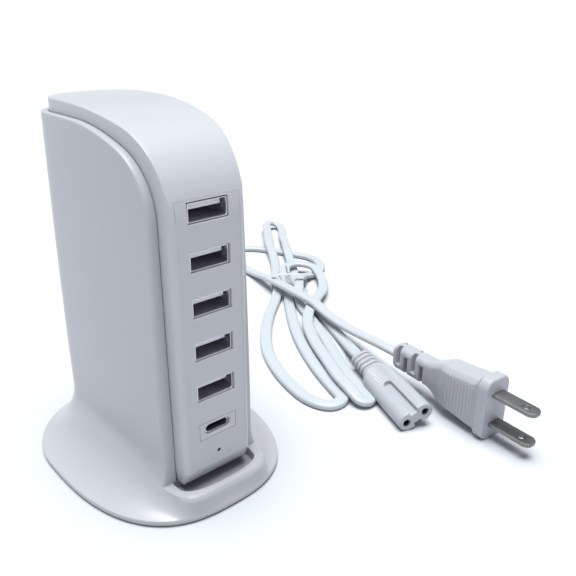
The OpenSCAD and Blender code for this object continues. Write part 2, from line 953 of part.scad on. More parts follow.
// Centreline of the lead from the connector to the plug, laid by hand on the table.
// Strands that cross are one cord thickness apart, and all rest on the table or on each other.
flat = cord_t / 2;
lead_route = [
  [97, -12, 5.4], [101, -4, 4], [106, 5, 2.3], [112, 18, flat], [118, 32, flat], [123, 46, flat],
  [128, 60, 1.9], [133.7, 71.3, 2.9], [141, 83, 1.7], [149, 93, flat], [157, 105, 2.2],
  [166, 119, 4.8], [176, 133, 4.2], [186, 147, 1.8], [194, 157, 1.8],
  [198, 165, 2.8], [194, 170, 4.4], [187, 166, 5.4], [178, 154, 6],
  [164, 135, 5.4], [153, 117, 3.4], [144, 104, 2], [134, 92, 2.2], [124.6, 78.6, 2.9],
  [114, 68, 1.7], [101, 57, flat], [87, 43, flat], [74, 26, flat], [66, 9, flat],
  [61.5, -7, flat], [60.5, -19, flat], [64, -27, flat], [71, -27, flat], [74.5, -18, flat],
  [79, -5, flat], [86, 11, flat], [95, 28, flat], [106, 45, flat], [117, 60, flat],
  [129.2, 75, 2.9], [134, 83, 4], [139, 91, 5.2], [147, 95, 5.6], [154, 92, 5.6],
  [157, 84, 5.2], [153, 74, 4.4], [147, 65, 3.6], [139, 57, 3.8], [130, 51, 4.9],
  [121, 45.5, 4.9], [111, 38, 4.9], [101, 27, 4.9], [92, 12, 4.8], [85, -3, 4.8], [79, -16, 4.8],
  [75.5, -27, 4.6], [74.5, -34.5, 2.8], [79, -35, 1.8], [82.5, -26, flat],
  [88, -12, flat], [95.5, 3, flat], [103, 17, flat], [109.5, 31, flat], [115, 43, flat],
  [120, 54, 1.8], [126.5, 63, 5], [134, 71, 6], [141.5, 77.5, 5], [149, 80.5, 2.8],
  [157, 82, flat], [166, 87, flat], [172, 96, flat], [173, 106, flat], [168.5, 117, flat],
  [163, 129, flat], [157, 140, flat], [149, 146, flat], [141, 145, flat], [135, 137, flat],
  [132, 125, flat], [129, 112, 1.8], [126.5, 99, 3.6], [124, 88, 5.8], [121.5, 77, 7.4],
  [120, 65, 8.1], [119, 52, 8.1], [118, 41, 8.1], [115.5, 29, 6.8], [113, 16, 6.6],
  [110, 2, 8], [106.5, -11, 10.4], [103, -24, 12.7], [102.3, -29, 13]
];

// Eight-sided flat section, twice as wide as it is thick
cord_section = let (w = cord_w / 2, t = cord_t / 2, c = cord_t * 0.3)
  [[w - c, -t], [w, -t + c], [w, t - c], [w - c, t], [-w + c, t], [-w, t - c], [-w, -t + c], [-w + c, -t]];
function unit(v) = v / norm(v);
function tangent(path, i) = unit(path[min(i + 1, len(path) - 1)] - path[max(i - 1, 0)]);

// Tube swept along a path, its section kept level across the path
module level_tube(path, section) {
  n = len(section);
  m = len(path);
  points = [for (i = [0 : m - 1]) let (
      t = tangent(path, i),
      side = unit([t[1], -t[0], 0]),
      up = cross(side, t)
    ) for (p = section) path[i] + p[0] * side + p[1] * up];
  sides = [for (i = [0 : m - 2], k = [0 : n - 1]) let (a = i * n + k, b = i * n + (k + 1) % n)
    each [[a, b + n, b], [a, a + n, b + n]]];
  ends = [[for (k = [0 : n - 1]) k], [for (k = [n - 1 : -1 : 0]) (m - 1) * n + k]];
  polyhedron(points, concat(sides, ends));
}

module lead_cord() {
  color(white)
    level_tube(lead_route, cord_section);
}

// Piece drawn along +X from the cord end, placed at a route end and turned to a heading
module at_lead_end(place, heading, roll) {
  translate(place)
    rotate([0, 0, heading])
      rotate([roll, 0, 0])
        children();
}

// Drawing across the local X axis, extruded along it
module along_x(x, depth) {
  translate([x, 0, 0])
    rotate([90, 0, 90])
      linear_extrude(depth)
        children();
}

// Two-hole connector: ribbed strain relief, widening neck, double-round nose
connector_w = 15;
connector_h = 7.8;
connector_len = 50;
relief_len = 12;
neck_len = 8;
relief_w = 9.4;
relief_h = 6;
connector_heading = -110.8;
connector_roll = 25;
rib_n = 4;
rib_gap = 1.2;
rib_depth = 0.7;
ridge_n = 8;
ridge_pitch = 1.7;
ridge_w = 0.7;
ridge_len = 5.4;
groove_w = 2.4;
groove_len = 22;
groove_depth = 1.1;
hole_d = 3.2;
hole_depth = 16;
module lead_connector() {
  color(white)
    at_lead_end(lead_route[0], connector_heading, connector_roll)
      difference() {
        union() {
          along_x(0, relief_len)
            stadium(relief_w - 2 * rib_depth, relief_h - 2 * rib_depth);
          for (i = [0 : rib_n - 1])
            along_x(i * relief_len / rib_n, relief_len / rib_n - rib_gap)
              stadium(relief_w, relief_h);
          hull() {
            along_x(relief_len - 0.2, 0.2)
              stadium(relief_w, relief_h);
            along_x(relief_len + neck_len, 0.2)
              stadium(connector_w, connector_h);
          }
          along_x(relief_len + neck_len, connector_len - relief_len - neck_len)
            stadium(connector_w, connector_h);
          for (i = [0 : ridge_n - 1])
            along_x(relief_len + 3 + ridge_pitch * i, ridge_w)
              translate([0, connector_h / 2 - 0.6])
                square([ridge_len, 1.3], center = true);
        }
        for (side = [-1, 1]) {
          translate([0, side * pin_gap / 2, 0])
            rotate([0, 90, 0])
              translate([0, 0, connector_len - hole_depth])
                cylinder(h = hole_depth + 1, d = hole_d, $fn = small_fn);
          connector_groove(side);
        }
      }
}

// Round-ended groove between the two lobes, above and below
module connector_groove(side) {
  groove_start = connector_len - groove_len;
  low = side * connector_h / 2 - groove_depth;
  translate([groove_start, 0, low])
    cylinder(h = 2 * groove_depth, d = groove_w, $fn = small_fn);
  translate([groove_start, -groove_w / 2, low])
    cube([groove_len + 1, groove_w, 2 * groove_depth]);
}

// Split metal sleeves inside the two holes
sleeve_len = 13.5;
sleeve_slit = 0.4;
module connector_contacts() {
  color("goldenrod")
    at_lead_end(lead_route[0], connector_heading, connector_roll)
      for (side = [-1, 1])
        translate([0, side * pin_gap / 2, 0])
          rotate([0, 90, 0])
            translate([0, 0, connector_len - hole_depth])
              difference() {
                cylinder(h = sleeve_len, d = hole_d - 0.04, $fn = small_fn);
                translate([0, 0, 1])
                  cylinder(h = sleeve_len, d = inlet_pin_d, $fn = small_fn);
                translate([-sleeve_slit / 2, -hole_d, 3])
                  cube([sleeve_slit, 2 * hole_d, sleeve_len]);
              }
}

// Two-blade plug lying on its narrow edge
plug_heading = -95;
plug_relief_len = 20;
plug_relief_w = 7.6;
plug_relief_h = 11;
plug_round = 3;
plug_len = 52;
plug_half_h = 13;
plug_t = 13.4;
flange_t = 4.5;
grip_t = 10.8;
grip_h = 20;
grip_start = 31;
module plug_body() {
  end = lead_route[len(lead_route) - 1];
  color(white)
    at_lead_end(end, plug_heading, 0)
      difference() {
        union() {
          along_x(0, plug_relief_len)
            round_rect(plug_relief_w, plug_relief_h, plug_round - 0.6);
          hull() {
            along_x(plug_relief_len - 0.2, 0.2)
              round_rect(plug_relief_w + 0.8, plug_relief_h + 1, plug_round - 0.6);
            along_x(grip_start, 0.2)
              round_rect(grip_t, grip_h, plug_round);
          }
          hull() {
            along_x(grip_start, 0.2)
              round_rect(grip_t, grip_h, plug_round);
            along_x(plug_len - flange_t, 0.2)
              round_rect(grip_t + 1, grip_h + 3, plug_round);
          }
          along_x(plug_len - flange_t, flange_t)
            round_rect(plug_t, 2 * plug_half_h, plug_round + 1);
          plug_grip_ribs();
        }
        plug_relief_slots();
        for (side = [-1, 1])
          translate([plug_len - blade_root, -blade_w / 2, side * blade_gap / 2 - blade_t / 2])
            cube([blade_root + 1, blade_w, blade_t]);
      }
}

// Fine ribs across both broad faces of the grip
grip_rib_n = 8;
grip_rib_pitch = 1.6;
grip_rib_w = 0.7;
grip_rib_h = 0.35;
grip_rib_len = 14;
module plug_grip_ribs() {
  for (i = [0 : grip_rib_n - 1])
    translate([grip_start + 2 + i * grip_rib_pitch, -grip_t / 2 - grip_rib_h, -grip_rib_len / 2])
      cube([grip_rib_w, grip_t + 2 * grip_rib_h, grip_rib_len]);
}

// Interlaced slots that let the strain relief bend
relief_slot_n = 4;
relief_slot_pitch = 4.4;
relief_slot_w = 1.8;
relief_slot_h = 9;
relief_slot_deep = 4.8;
relief_slot_first = 0.6;
relief_slot_low = 2.6;
module plug_relief_slots() {
  for (i = [0 : relief_slot_n - 1], side = [-1, 1]) {
    across = side * plug_relief_w * 0.6 - relief_slot_deep / 2;
    up = i % 2 == 0 ? -relief_slot_low : relief_slot_low - relief_slot_h;
    translate([relief_slot_pitch * (i + relief_slot_first), across, up])
      cube([relief_slot_w, relief_slot_deep, relief_slot_h]);
  }
}

// Two flat blades with a hole near each tip, rooted in the plug
blade_w = 6.35;
blade_t = 1.5;
blade_root = 6;
blade_hole_d = 3.1;
blade_hole_at = 5;
module plug_blades() {
  end = lead_route[len(lead_route) - 1];
  color(steel)
    at_lead_end(end, plug_heading, 0)
      for (side = [-1, 1])
        translate([plug_len, 0, side * blade_gap / 2 - blade_t / 2])
          difference() {
            linear_extrude(blade_t)
              polygon([
                [-blade_root, -blade_w / 2], [blade_len - 2, -blade_w / 2], [blade_len, -blade_w / 4],
                [blade_len, blade_w / 4], [blade_len - 2, blade_w / 2], [-blade_root, blade_w / 2]
              ]);
            translate([blade_len - blade_hole_at, 0, -1])
              cylinder(h = blade_t + 2, d = blade_hole_d, $fn = small_fn);
          }
}

// Plastic-coated wire around the bundle, closed with a twist
tie_mid = [129.1, 74.7, 5.7];
tie_across = [0.8, -0.6, 0];
tie_half_w = 9.8;
tie_half_h = 5.1;
tie_wire = 1.1;
tie_n = 28;
tie_sides = 6;
twist_len = 11;
twist_d = 1.7;
function tie_curve(a) = let (c = cos(a), s = sin(a))
  tie_half_w * sign(c) * pow(abs(c), 0.5) * tie_across + [0, 0, tie_half_h * sign(s) * pow(abs(s), 0.5)];
module twist_tie() {
  along = cross([0, 0, 1], tie_across);
  points = [for (i = [0 : tie_n - 1]) let (out = unit(tie_curve(360 * i / tie_n)))
    for (k = [0 : tie_sides - 1]) let (b = 360 * k / tie_sides)
      tie_mid + tie_curve(360 * i / tie_n) + tie_wire / 2 * (cos(b) * out + sin(b) * along)];
  faces = [for (i = [0 : tie_n - 1], k = [0 : tie_sides - 1]) let (
      a = i * tie_sides + k,
      b = i * tie_sides + (k + 1) % tie_sides,
      c = ((i + 1) % tie_n) * tie_sides + k,
      d = ((i + 1) % tie_n) * tie_sides + (k + 1) % tie_sides
    ) each [[a, d, b], [a, c, d]]];
  color(steel) {
    polyhedron(points, faces);
    translate(tie_mid + [0, 0, tie_half_h])
      rotate([0, 92, atan2(along[1], along[0])])
        cylinder(h = twist_len, d = twist_d, $fn = small_fn);
  }
}

outer_shell();
core_housing();
front_panel();
usb_c_bezel();
usb_a_shell(port_zs[0]);  // usb_a_shell_1
usb_a_shell(port_zs[1]);  // usb_a_shell_2
usb_a_shell(port_zs[2]);  // usb_a_shell_3
usb_a_shell(port_zs[3]);  // usb_a_shell_4
usb_a_shell(port_zs[4]);  // usb_a_shell_5
usb_a_tongue(port_zs[0]);  // usb_a_tongue_1
usb_a_tongue(port_zs[1]);  // usb_a_tongue_2
usb_a_tongue(port_zs[2]);  // usb_a_tongue_3
usb_a_tongue(port_zs[3]);  // usb_a_tongue_4
usb_a_tongue(port_zs[4]);  // usb_a_tongue_5
usb_c_shell();
usb_c_tongue();
port_contacts();
status_light();
port_board();
mains_board();
transformer();
bulk_capacitors();
line_choke();
heat_sink();
board_link();
ac_inlet();
inlet_pins();
base_cover();
rubber_feet();
base_screws();
core_screws();
lead_cord();
lead_connector();
connector_contacts();
plug_body();
plug_blades();
twist_tie();
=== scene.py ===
import json
from math import asin, atan2, ceil, copysign, cos, exp, hypot, pi, radians, sin, sqrt

import bmesh
import bpy
import numpy as np
from mathutils import Matrix, Vector
from mathutils.geometry import delaunay_2d_cdt


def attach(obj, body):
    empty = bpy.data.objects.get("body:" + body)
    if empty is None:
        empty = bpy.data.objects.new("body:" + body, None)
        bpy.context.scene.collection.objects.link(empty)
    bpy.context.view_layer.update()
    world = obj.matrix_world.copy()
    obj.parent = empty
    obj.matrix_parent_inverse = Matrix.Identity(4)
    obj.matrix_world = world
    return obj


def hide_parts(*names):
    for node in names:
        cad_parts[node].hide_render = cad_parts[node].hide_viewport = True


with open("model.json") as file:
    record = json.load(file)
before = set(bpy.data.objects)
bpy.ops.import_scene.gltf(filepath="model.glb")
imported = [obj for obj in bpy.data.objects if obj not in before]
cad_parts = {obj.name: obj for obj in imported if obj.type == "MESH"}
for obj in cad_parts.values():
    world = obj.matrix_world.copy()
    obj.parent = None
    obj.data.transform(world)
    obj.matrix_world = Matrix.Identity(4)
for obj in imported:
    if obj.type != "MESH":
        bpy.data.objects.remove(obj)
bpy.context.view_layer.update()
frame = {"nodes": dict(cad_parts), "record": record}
scene = bpy.context.scene
MM = 0.001
MERGE_WITHIN, DEGENERATE = 2e-6, 1e-7
TINY = 1e-6


def new_object(name, data):
    obj = bpy.data.objects.new(name, data)
    scene.collection.objects.link(obj)
    return obj


# The photograph's camera: place in metres, angles in degrees, focal length and picture in pixels
CAMERA_AT = (-0.10066, -0.19016, 0.15327)
CAMERA_ANGLES = (40.9, 23.31, 0.31)
FOCAL_PX, PHOTO_PX, SENSOR_MM = 666.2, 576, 36


def aim_camera():
    yaw, pitch, roll = (radians(a) for a in CAMERA_ANGLES)
    ahead = Vector((sin(yaw) * cos(pitch), cos(yaw) * cos(pitch), -sin(pitch)))
    right = Vector((cos(yaw), -sin(yaw), 0))
    up = right.cross(ahead)
    right, up = right * cos(roll) + up * sin(roll), up * cos(roll) - right * sin(roll)
    data = bpy.data.cameras.new("camera")
    data.sensor_width = SENSOR_MM
    data.lens = SENSOR_MM * FOCAL_PX / PHOTO_PX
    data.clip_start, data.clip_end = 0.01, 100
    camera = new_object("camera", data)
    axes = Matrix((right, up, -ahead)).transposed().to_4x4()
    camera.matrix_world = Matrix.Translation(CAMERA_AT) @ axes
    scene.camera = camera


aim_camera()


# Mesh builder, all points in millimetres
class Shape:
    def __init__(self):
        self.points, self.faces, self.count = [], [], 0

    def add(self, points, faces, flip=False):
        points = np.asarray(points, float).reshape(-1, 3)
        base = self.count
        self.points.append(points)
        self.count += len(points)
        for f in faces:
            f = [base + int(i) for i in f]
            self.faces.append(f[::-1] if flip else f)

    # Quads between rows of points; closed joins each row's end to its start, skip leaves cells out
    def grid(self, points, flip=False, closed=False, skip=None):
        points = np.asarray(points, float)
        rows, cols = points.shape[:2]
        faces = []
        for r in range(rows - 1):
            for c in range(cols if closed else cols - 1):
                if skip is None or not skip[r, c]:
                    low, high, n = r * cols, (r + 1) * cols, (c + 1) % cols
                    faces.append([low + c, low + n, high + n, high + c])
        self.add(points, faces, flip)

    def tube(self, rings, flip=False):
        self.grid(rings, flip, closed=True)

    def cap(self, ring, flip=False):
        self.add(ring, [range(len(ring))], flip)

    # Flat area set in place by lay, stand or at_x, at one number or at one for each height
    def sheet(self, place, at, outer, holes=(), extra=(), flip=False):
        verts, faces = plate(outer, holes, extra)
        self.add(place(verts, [at(v) for _, v in verts] if callable(at) else at), faces, flip)

    def mirror(self):
        points = np.concatenate(self.points)
        faces = [list(f) for f in self.faces]
        self.add(points * [-1, 1, 1], [f[::-1] for f in faces])

    def move(self, matrix):
        m = np.array(matrix)
        self.points = [p @ m[:3, :3].T + m[:3, 3] for p in self.points]

    # Edges that bend more than the sharp angle stay crisp; without one, every face is flat.
    def build(self, name, material, replaces=(), sharp=None):
        mesh = bpy.data.meshes.new(name)
        mesh.from_pydata((np.concatenate(self.points) * MM).tolist(), [], self.faces)
        bm = bmesh.new()
        bm.from_mesh(mesh)
        bmesh.ops.remove_doubles(bm, verts=bm.verts, dist=MERGE_WITHIN)
        bmesh.ops.dissolve_degenerate(bm, dist=DEGENERATE, edges=bm.edges)
        bm.to_mesh(mesh)
        bm.free()
        mesh.validate()
        if sharp:
            mesh.shade_smooth()
            mesh.set_sharp_from_angle(angle=radians(sharp))
        mesh.materials.append(MATERIALS[material])
        obj = new_object(name, mesh)
        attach(obj, "root")
        if replaces:
            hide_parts(*replaces)
        return obj


# This script's own materials; the frame has others of the same names
MATERIALS = {}
# Scale and detail of each noise, and depth of each relief in metres
WAVES, GRAIN, DUST, CLOUDS = (45, 2), (1100, 2), (60, 0), (25, 2)
SCRATCHES, BLOTCHES = (900, 4), (220, 6)
WAVE_DEPTH, GRAIN_DEPTH, SCRATCH_DEPTH, BLOTCH_DEPTH = 0.0006, 0.0001, 0.0001, 0.0002
LEAST_GRAIN, BLOTCH_STRENGTH = 0.01, 0.05


def node_material(name, colour, roughness, **sockets):
    material = MATERIALS[name] = bpy.data.materials.new(name)
    material.use_nodes = True
    tree = material.node_tree
    shader = tree.nodes["Principled BSDF"]
    shader.inputs["Base Color"].default_value = (*colour, 1)
    shader.inputs["Roughness"].default_value = roughness
    for key, value in sockets.items():
        shader.inputs[key.replace("_", " ")].default_value = value
    return tree, shader


def new_node(tree, kind, values, links):
    node = tree.nodes.new("ShaderNode" + kind)
    for key, value in values.items():
        node.inputs[key].default_value = value
    for key, source in links.items():
        tree.links.new(source, node.inputs[key])
    return node.outputs


def noise(tree, scale, detail, stretch=None):
    source = new_node(tree, "TexCoord", {}, {})["Object"]
    if stretch:
        source = new_node(tree, "Mapping", {"Scale": stretch}, {"Vector": source})["Vector"]
    return new_node(tree, "TexNoise", {"Scale": scale, "Detail": detail}, {"Vector": source})["Fac"]


def vary(tree, source, low, high, target):
    spans = {"From Min": 0.3, "From Max": 0.7, "To Min": low, "To Max": high}
    tree.links.new(new_node(tree, "MapRange", spans, {"Value": source})["Result"], target)


def tint(tree, source, first, second, target):
    ramp = tree.nodes.new("ShaderNodeValToRGB")
    for element, position, colour in zip(ramp.color_ramp.elements, (0.35, 0.65), (first, second)):
        element.position = position
        element.color = (*colour, 1)
    tree.links.new(source, ramp.inputs["Fac"])
    tree.links.new(ramp.outputs["Color"], target)


# Bump layers of (source, strength, depth), each on top of the one before
def relief(tree, shader, layers):
    below = {}
    for source, strength, distance in layers:
        values = {"Strength": strength, "Distance": distance}
        below = {"Normal": new_node(tree, "Bump", values, {"Height": source, **below})["Normal"]}
    tree.links.new(below["Normal"], shader.inputs["Normal"])


# Moulded plastic: slow waves, fine grain, uneven gloss and a slight cloudiness
def plastic(name, colour, rough, wave=0.05, grain=0.02, shift=0.012, **sockets):
    tree, shader = node_material(name, colour, rough, **sockets)
    layers = [(noise(tree, *WAVES), wave, WAVE_DEPTH)]
    if grain > LEAST_GRAIN:
        layers.append((noise(tree, *GRAIN), grain, GRAIN_DEPTH))
    relief(tree, shader, layers)
    vary(tree, noise(tree, *DUST), rough * 0.95, rough * 1.05, shader.inputs["Roughness"])
    darker = [c * (1 - shift) for c in colour]
    tint(tree, noise(tree, *CLOUDS), darker, colour, shader.inputs["Base Color"])


# Drawn metal: scratches stretched along one axis, and blotches
def metal(name, colour, rough, along=(1, 1, 30), scratches=0.12):
    tree, shader = node_material(name, colour, rough, Metallic=1.0)
    lines, blotch = noise(tree, *SCRATCHES, along), noise(tree, *BLOTCHES)
    relief(tree, shader, [(lines, scratches, SCRATCH_DEPTH), (blotch, BLOTCH_STRENGTH, BLOTCH_DEPTH)])
    vary(tree, lines, rough * 0.75, rough * 1.4, shader.inputs["Roughness"])
    tint(tree, blotch, [c * 0.86 for c in colour], colour, shader.inputs["Base Color"])


plastic("gloss_white", (0.43, 0.44, 0.46), 0.3, wave=0.02, grain=0.004)
plastic("core_white", (0.48, 0.49, 0.515), 0.32, wave=0.02, grain=0.006)
plastic("panel_white", (0.465, 0.47, 0.485), 0.38, wave=0.02, grain=0.02)
plastic("base_white", (0.5, 0.51, 0.53), 0.5, wave=0.02, grain=0.3)
# Grey that paints the shade in the slot under the lip
plastic("slot_painted_shade", (0.29, 0.30, 0.325), 0.55, grain=0.1)
plastic("lead_white", (0.39, 0.41, 0.44), 0.38, wave=0.03, grain=0.03, Subsurface_Weight=0.05)
plastic("cord_white", (0.46, 0.49, 0.52), 0.38, wave=0.03, grain=0.03, Subsurface_Weight=0.05)
plastic("tongue_plastic", (0.66, 0.66, 0.69), 0.4, grain=0.1)
plastic("black_plastic", (0.022, 0.022, 0.025), 0.45, grain=0.15)
plastic("light_pipe", (0.012, 0.012, 0.014), 0.5)
plastic("soft_grey", (0.52, 0.52, 0.52), 0.8, grain=0.4)
plastic("board_green", (0.02, 0.12, 0.05), 0.35, grain=0.3, shift=0.3)
plastic("ferrite", (0.05, 0.05, 0.05), 0.6, grain=0.4, shift=0.3)
plastic("capacitor_sleeve", (0.012, 0.02, 0.09), 0.3, shift=0.2)
plastic("choke_winding", (0.42, 0.13, 0.03), 0.3, wave=0.3, shift=0.4)
plastic("tie_wire", (0.50, 0.52, 0.55), 0.4)
metal("port_steel", (0.78, 0.78, 0.80), 0.3, along=(1, 40, 1))
# Darker copy of the port steel: painted shade for the inside of the receptacles
metal("port_painted_shade", (0.5, 0.5, 0.56), 0.5, along=(1, 40, 1))
metal("nickel", (0.24, 0.24, 0.235), 0.42, along=(40, 1, 1), scratches=0.2)
metal("bare_aluminium", (0.78, 0.78, 0.79), 0.35)
metal("contact_gold", (0.85, 0.60, 0.22), 0.22)
metal("contact_brass", (0.62, 0.45, 0.20), 0.3)
slots = {s["node"]: s["material_slot"] for s in frame["record"]["subparts"]}
for name, node in frame["nodes"].items():
    node.data.materials.clear()
    node.data.materials.append(MATERIALS[slots[name]])


# Tower dimensions in millimetres, as in the construction
FRONT, BACK_Y, CORE_W, SIDE_R, CORNER_R, APEX_Y = 40, 20.8, 32.6, 400, 2, 14
TOWER_H, BROW_R, CROWN_R, CROWN_Y, TAIL_R = 125, 25, 138, 10, 600
RIM_DROP, RIM_BACK, RIM_BROW_R, RIM_CROWN_R, RIM_CROWN_Y, RIM_TAIL_R = 4.15, 5.4, 20.2, 75, 5, 900
RIM_FRONT, RIM_ROUND, RIM_TOP_ROUND, RIM_BACK_Z = -FRONT + RIM_BACK, 0.9, 0.5, 118
SHELL_OFF, SHELL_TAPER, TAPER_FROM, TAPER_OVER, SEAM_GAP, SEAM_DEEP = 4.25, 1.6, 30, 90, 0.2, 2.6
FOOT_W, FOOT_FRONT, FOOT_BACK, FOOT_WIDEST, FOOT_N, FOOT_BACK_N = 76.2, 47.5, 46.5, 11, 2.7, 2.05
FLARE_H, FLARE_TURN, PAD_DROP, FOOT_EDGE, EDGE_IN, EDGE_TURN = 19, 0.965, 0.3, 2.2, 0.9, 2.2
INSIDE_IN, INSIDE_TOP = 2.3, 3.4
COVER_IN, COVER_Z, COVER_LOW, COVER_HIGH, COVER_TOP = 2.5, 1.4, 0.8, 1.6, 2.4
LIP_Z, LIP_BULGE, LIP_ROUND, LIP_TURN, LIP_BEVEL = 9.2, 1.7, 2.3, 0.96, 0.45
SLOT_HALF, SLOT_FRONT, SLOT_MID_Y, SLOT_N, SLOT_FLOOR, SLOT_END = 14.8, -43.5, -37.4, 2.6, 6.2, 15
CORE_FLOOR, CHIN_Z, CHIN_EASE, CHIN_IN, CHIN_SIDE = 9.2, 13.85, 0.18, 2.35, 0.35
PANEL_HALF, PANEL_LOW, PANEL_TOP, PANEL_T, PANEL_EDGE, PANEL_GAP = 10.9, 14, 103.4, 1.8, 0.08, 0.03
PORTS_Z = [99.5 - 14.42 * i for i in range(5)]
USBC_Z, LED_Z, LED_R = 27.6, 18.2, 0.72
INLET_Z, INLET_FACE, INLET_DEEP, CORE_FILLET = 25, 38.09, 4, 0.4
PADS, PAD_HOLE_R, SCREW_HOLE_R = ((22, -30), (-22, -30), (20, 33), (-20, 33)), 4.6, 2.5
SCREWS = [(x, y) for x in (-12, 12) for y in (-24, 27)]

SIDE_CX = SIDE_R - CORE_W / 2
CORNER_CY = -FRONT + CORNER_R
CORNER_CX = sqrt((SIDE_R - CORNER_R) ** 2 - (APEX_Y - CORNER_CY) ** 2) - SIDE_CX
BACK_R = sqrt(SIDE_R**2 - (BACK_Y - APEX_Y) ** 2) - SIDE_CX
CORNER_A = asin((CORNER_CY - APEX_Y) / (SIDE_R - CORNER_R))
BACK_A = asin((BACK_Y - APEX_Y) / SIDE_R)

# Points on the plan of the inner housing, right half: front, corner, side and round back
N_FRONT, N_CORNER, N_SIDE, N_BACK = 24, 60, 200, 120
SIDE_START = N_FRONT + N_CORNER
ARC_START = SIDE_START + N_SIDE
NEAR_BACK, LAST = ARC_START - 40, ARC_START + N_BACK


def back_angle(step, steps):
    return BACK_A + (pi / 2 - BACK_A) * step / steps


# Centre, radius and bearing of each point of the plan
AHEAD, TURN = -pi / 2, CORNER_A + pi / 2
STATIONS = np.array(
    [(CORNER_CX * i / N_FRONT, CORNER_CY, CORNER_R, AHEAD) for i in range(N_FRONT)]
    + [(CORNER_CX, CORNER_CY, CORNER_R, AHEAD + TURN * i / N_CORNER) for i in range(N_CORNER)]
    + [(-SIDE_CX, APEX_Y, SIDE_R, CORNER_A + (BACK_A - CORNER_A) * i / N_SIDE) for i in range(N_SIDE)]
    + [(0, BACK_Y, BACK_R, back_angle(i, N_BACK)) for i in range(N_BACK + 1)]
)
NORMALS = np.stack([np.cos(STATIONS[:, 3]), np.sin(STATIONS[:, 3])], 1)
FACING = np.maximum(0, -NORMALS[:, 1]) ** 2


def ease(t):
    t = min(1.0, max(0.0, t))
    return t * t * (3 - 2 * t)


def standoff(z):
    return SHELL_OFF - SHELL_TAPER * max(0.0, (z - TAPER_FROM) / TAPER_OVER) ** 1.5


def lip_extra(z):
    u = min(1, max(0, (z - LIP_Z + LIP_ROUND) / LIP_ROUND))
    return LIP_BULGE - LIP_ROUND * (1 - sqrt(1 - (LIP_TURN * u) ** 2))


def flare(z):
    u = min(1, max(0, (FLARE_H - z) / (FLARE_H - PAD_DROP - FOOT_EDGE)))
    return (1 - sqrt(1 - (FLARE_TURN * u) ** 2)) / (1 - sqrt(1 - FLARE_TURN**2))


# Right half of the shell's outline at a height, set in by a depth
def skin(z, inset=0.0):
    reach = STATIONS[:, 2] + standoff(z) + FACING * lip_extra(z) - inset
    wall = STATIONS[:, :2] + reach[:, None] * NORMALS
    bearing = np.arctan2(wall[:, 1] - FOOT_WIDEST, wall[:, 0])
    c, s = np.cos(bearing), np.sin(bearing)
    n = np.where(s < 0, FOOT_N, FOOT_BACK_N)
    b = np.where(s < 0, FOOT_FRONT + FOOT_WIDEST, FOOT_BACK - FOOT_WIDEST) - inset
    w = FOOT_W / 2 - inset
    foot = ((np.abs(c) / w) ** n + (np.abs(s) / b) ** n) ** (-1 / n)
    edge = np.stack([foot * c, FOOT_WIDEST + foot * s], 1)
    return wall + (edge - wall) * flare(z)


def at_index(outline, index):
    steps = np.arange(len(outline))
    return np.stack([np.interp(index, steps, side) for side in outline.T], 1)


def index_at_y(outline, y):
    return float(np.interp(y, outline[N_FRONT:, 1], np.arange(N_FRONT, len(outline))))


# Side view of an arch of three arcs, brow, crown and tail; d sets a point in from the arch
class Arch:
    def __init__(self, front, top, brow, crown, crown_y, tail):
        self.top, self.brow, self.crown, self.crown_y, self.tail = top, brow, crown, crown_y, tail
        self.top_c = top - crown
        self.brow_y = front + brow
        self.brow_z = self.top_c + sqrt((crown - brow) ** 2 - (crown_y - self.brow_y) ** 2)
        self.turn = atan2(self.brow_z - self.top_c, self.brow_y - crown_y)

    def height(self, y, d=0.0):
        if y > self.crown_y:
            return self.top - self.tail + sqrt((self.tail - d) ** 2 - (y - self.crown_y) ** 2)
        touch_y = self.brow_y + (self.brow - d) * cos(self.turn)
        if y >= touch_y:
            return self.top_c + sqrt((self.crown - d) ** 2 - (y - self.crown_y) ** 2)
        return self.brow_z + sqrt(max(0, (self.brow - d) ** 2 - (y - self.brow_y) ** 2))

    # (y, z) at a place along the arch: 0 to 1 brow, 1 to 2 crown, 2 to 3 tail up to the round back
    def along(self, t, d=0.0):
        if t <= 1:
            a, r = pi + (self.turn - pi) * t, self.brow - d
            return self.brow_y + r * cos(a), self.brow_z + r * sin(a)
        if t <= 2:
            a, r = self.turn + (pi / 2 - self.turn) * (t - 1), self.crown - d
            return self.crown_y + r * cos(a), self.top_c + r * sin(a)
        y = self.crown_y + (BACK_Y - self.crown_y) * (t - 2)
        return y, self.height(y, d)


rim = Arch(RIM_FRONT, TOWER_H - RIM_DROP, RIM_BROW_R, RIM_CROWN_R, RIM_CROWN_Y, RIM_TAIL_R)
arch = Arch(-FRONT, TOWER_H, BROW_R, CROWN_R, CROWN_Y, TAIL_R)


# Radius of the rim's outer edge: wide on the front, tight over the top
def rim_round(t):
    return RIM_ROUND + (RIM_TOP_ROUND - RIM_ROUND) * ease((t - 0.15) / 0.75)


def arch_steps(brow, crown, tail):
    later = [np.linspace(1, 2, crown)[1:], np.linspace(2, 3, tail)[1:]]
    return np.concatenate([np.linspace(0, 1, brow), *later])


RIM_STEPS, ARCH_STEPS = arch_steps(25, 17, 9), arch_steps(29, 21, 7)[1:]


# Rounded edge in n steps: shares of its radius still to go across, and gone along
def quarter(n):
    return [(1 - sin(a), 1 - cos(a)) for a in np.radians(np.linspace(0, 90, n))]


ROUND = quarter(8)
COARSE_ROUND = ROUND[::2]


def wall_x(y, z, inset=0.0):
    if z < TAPER_FROM:
        outline = skin(z, inset)
        return float(np.interp(y, outline[N_FRONT:, 1], outline[N_FRONT:, 0]))
    return sqrt((SIDE_R + standoff(z) - inset) ** 2 - (y - APEX_Y) ** 2) - SIDE_CX


def core_x(y):
    if y < CORNER_CY:
        return CORNER_CX + sqrt(max(0, CORNER_R**2 - (y - CORNER_CY) ** 2))
    return sqrt(SIDE_R**2 - (y - APEX_Y) ** 2) - SIDE_CX


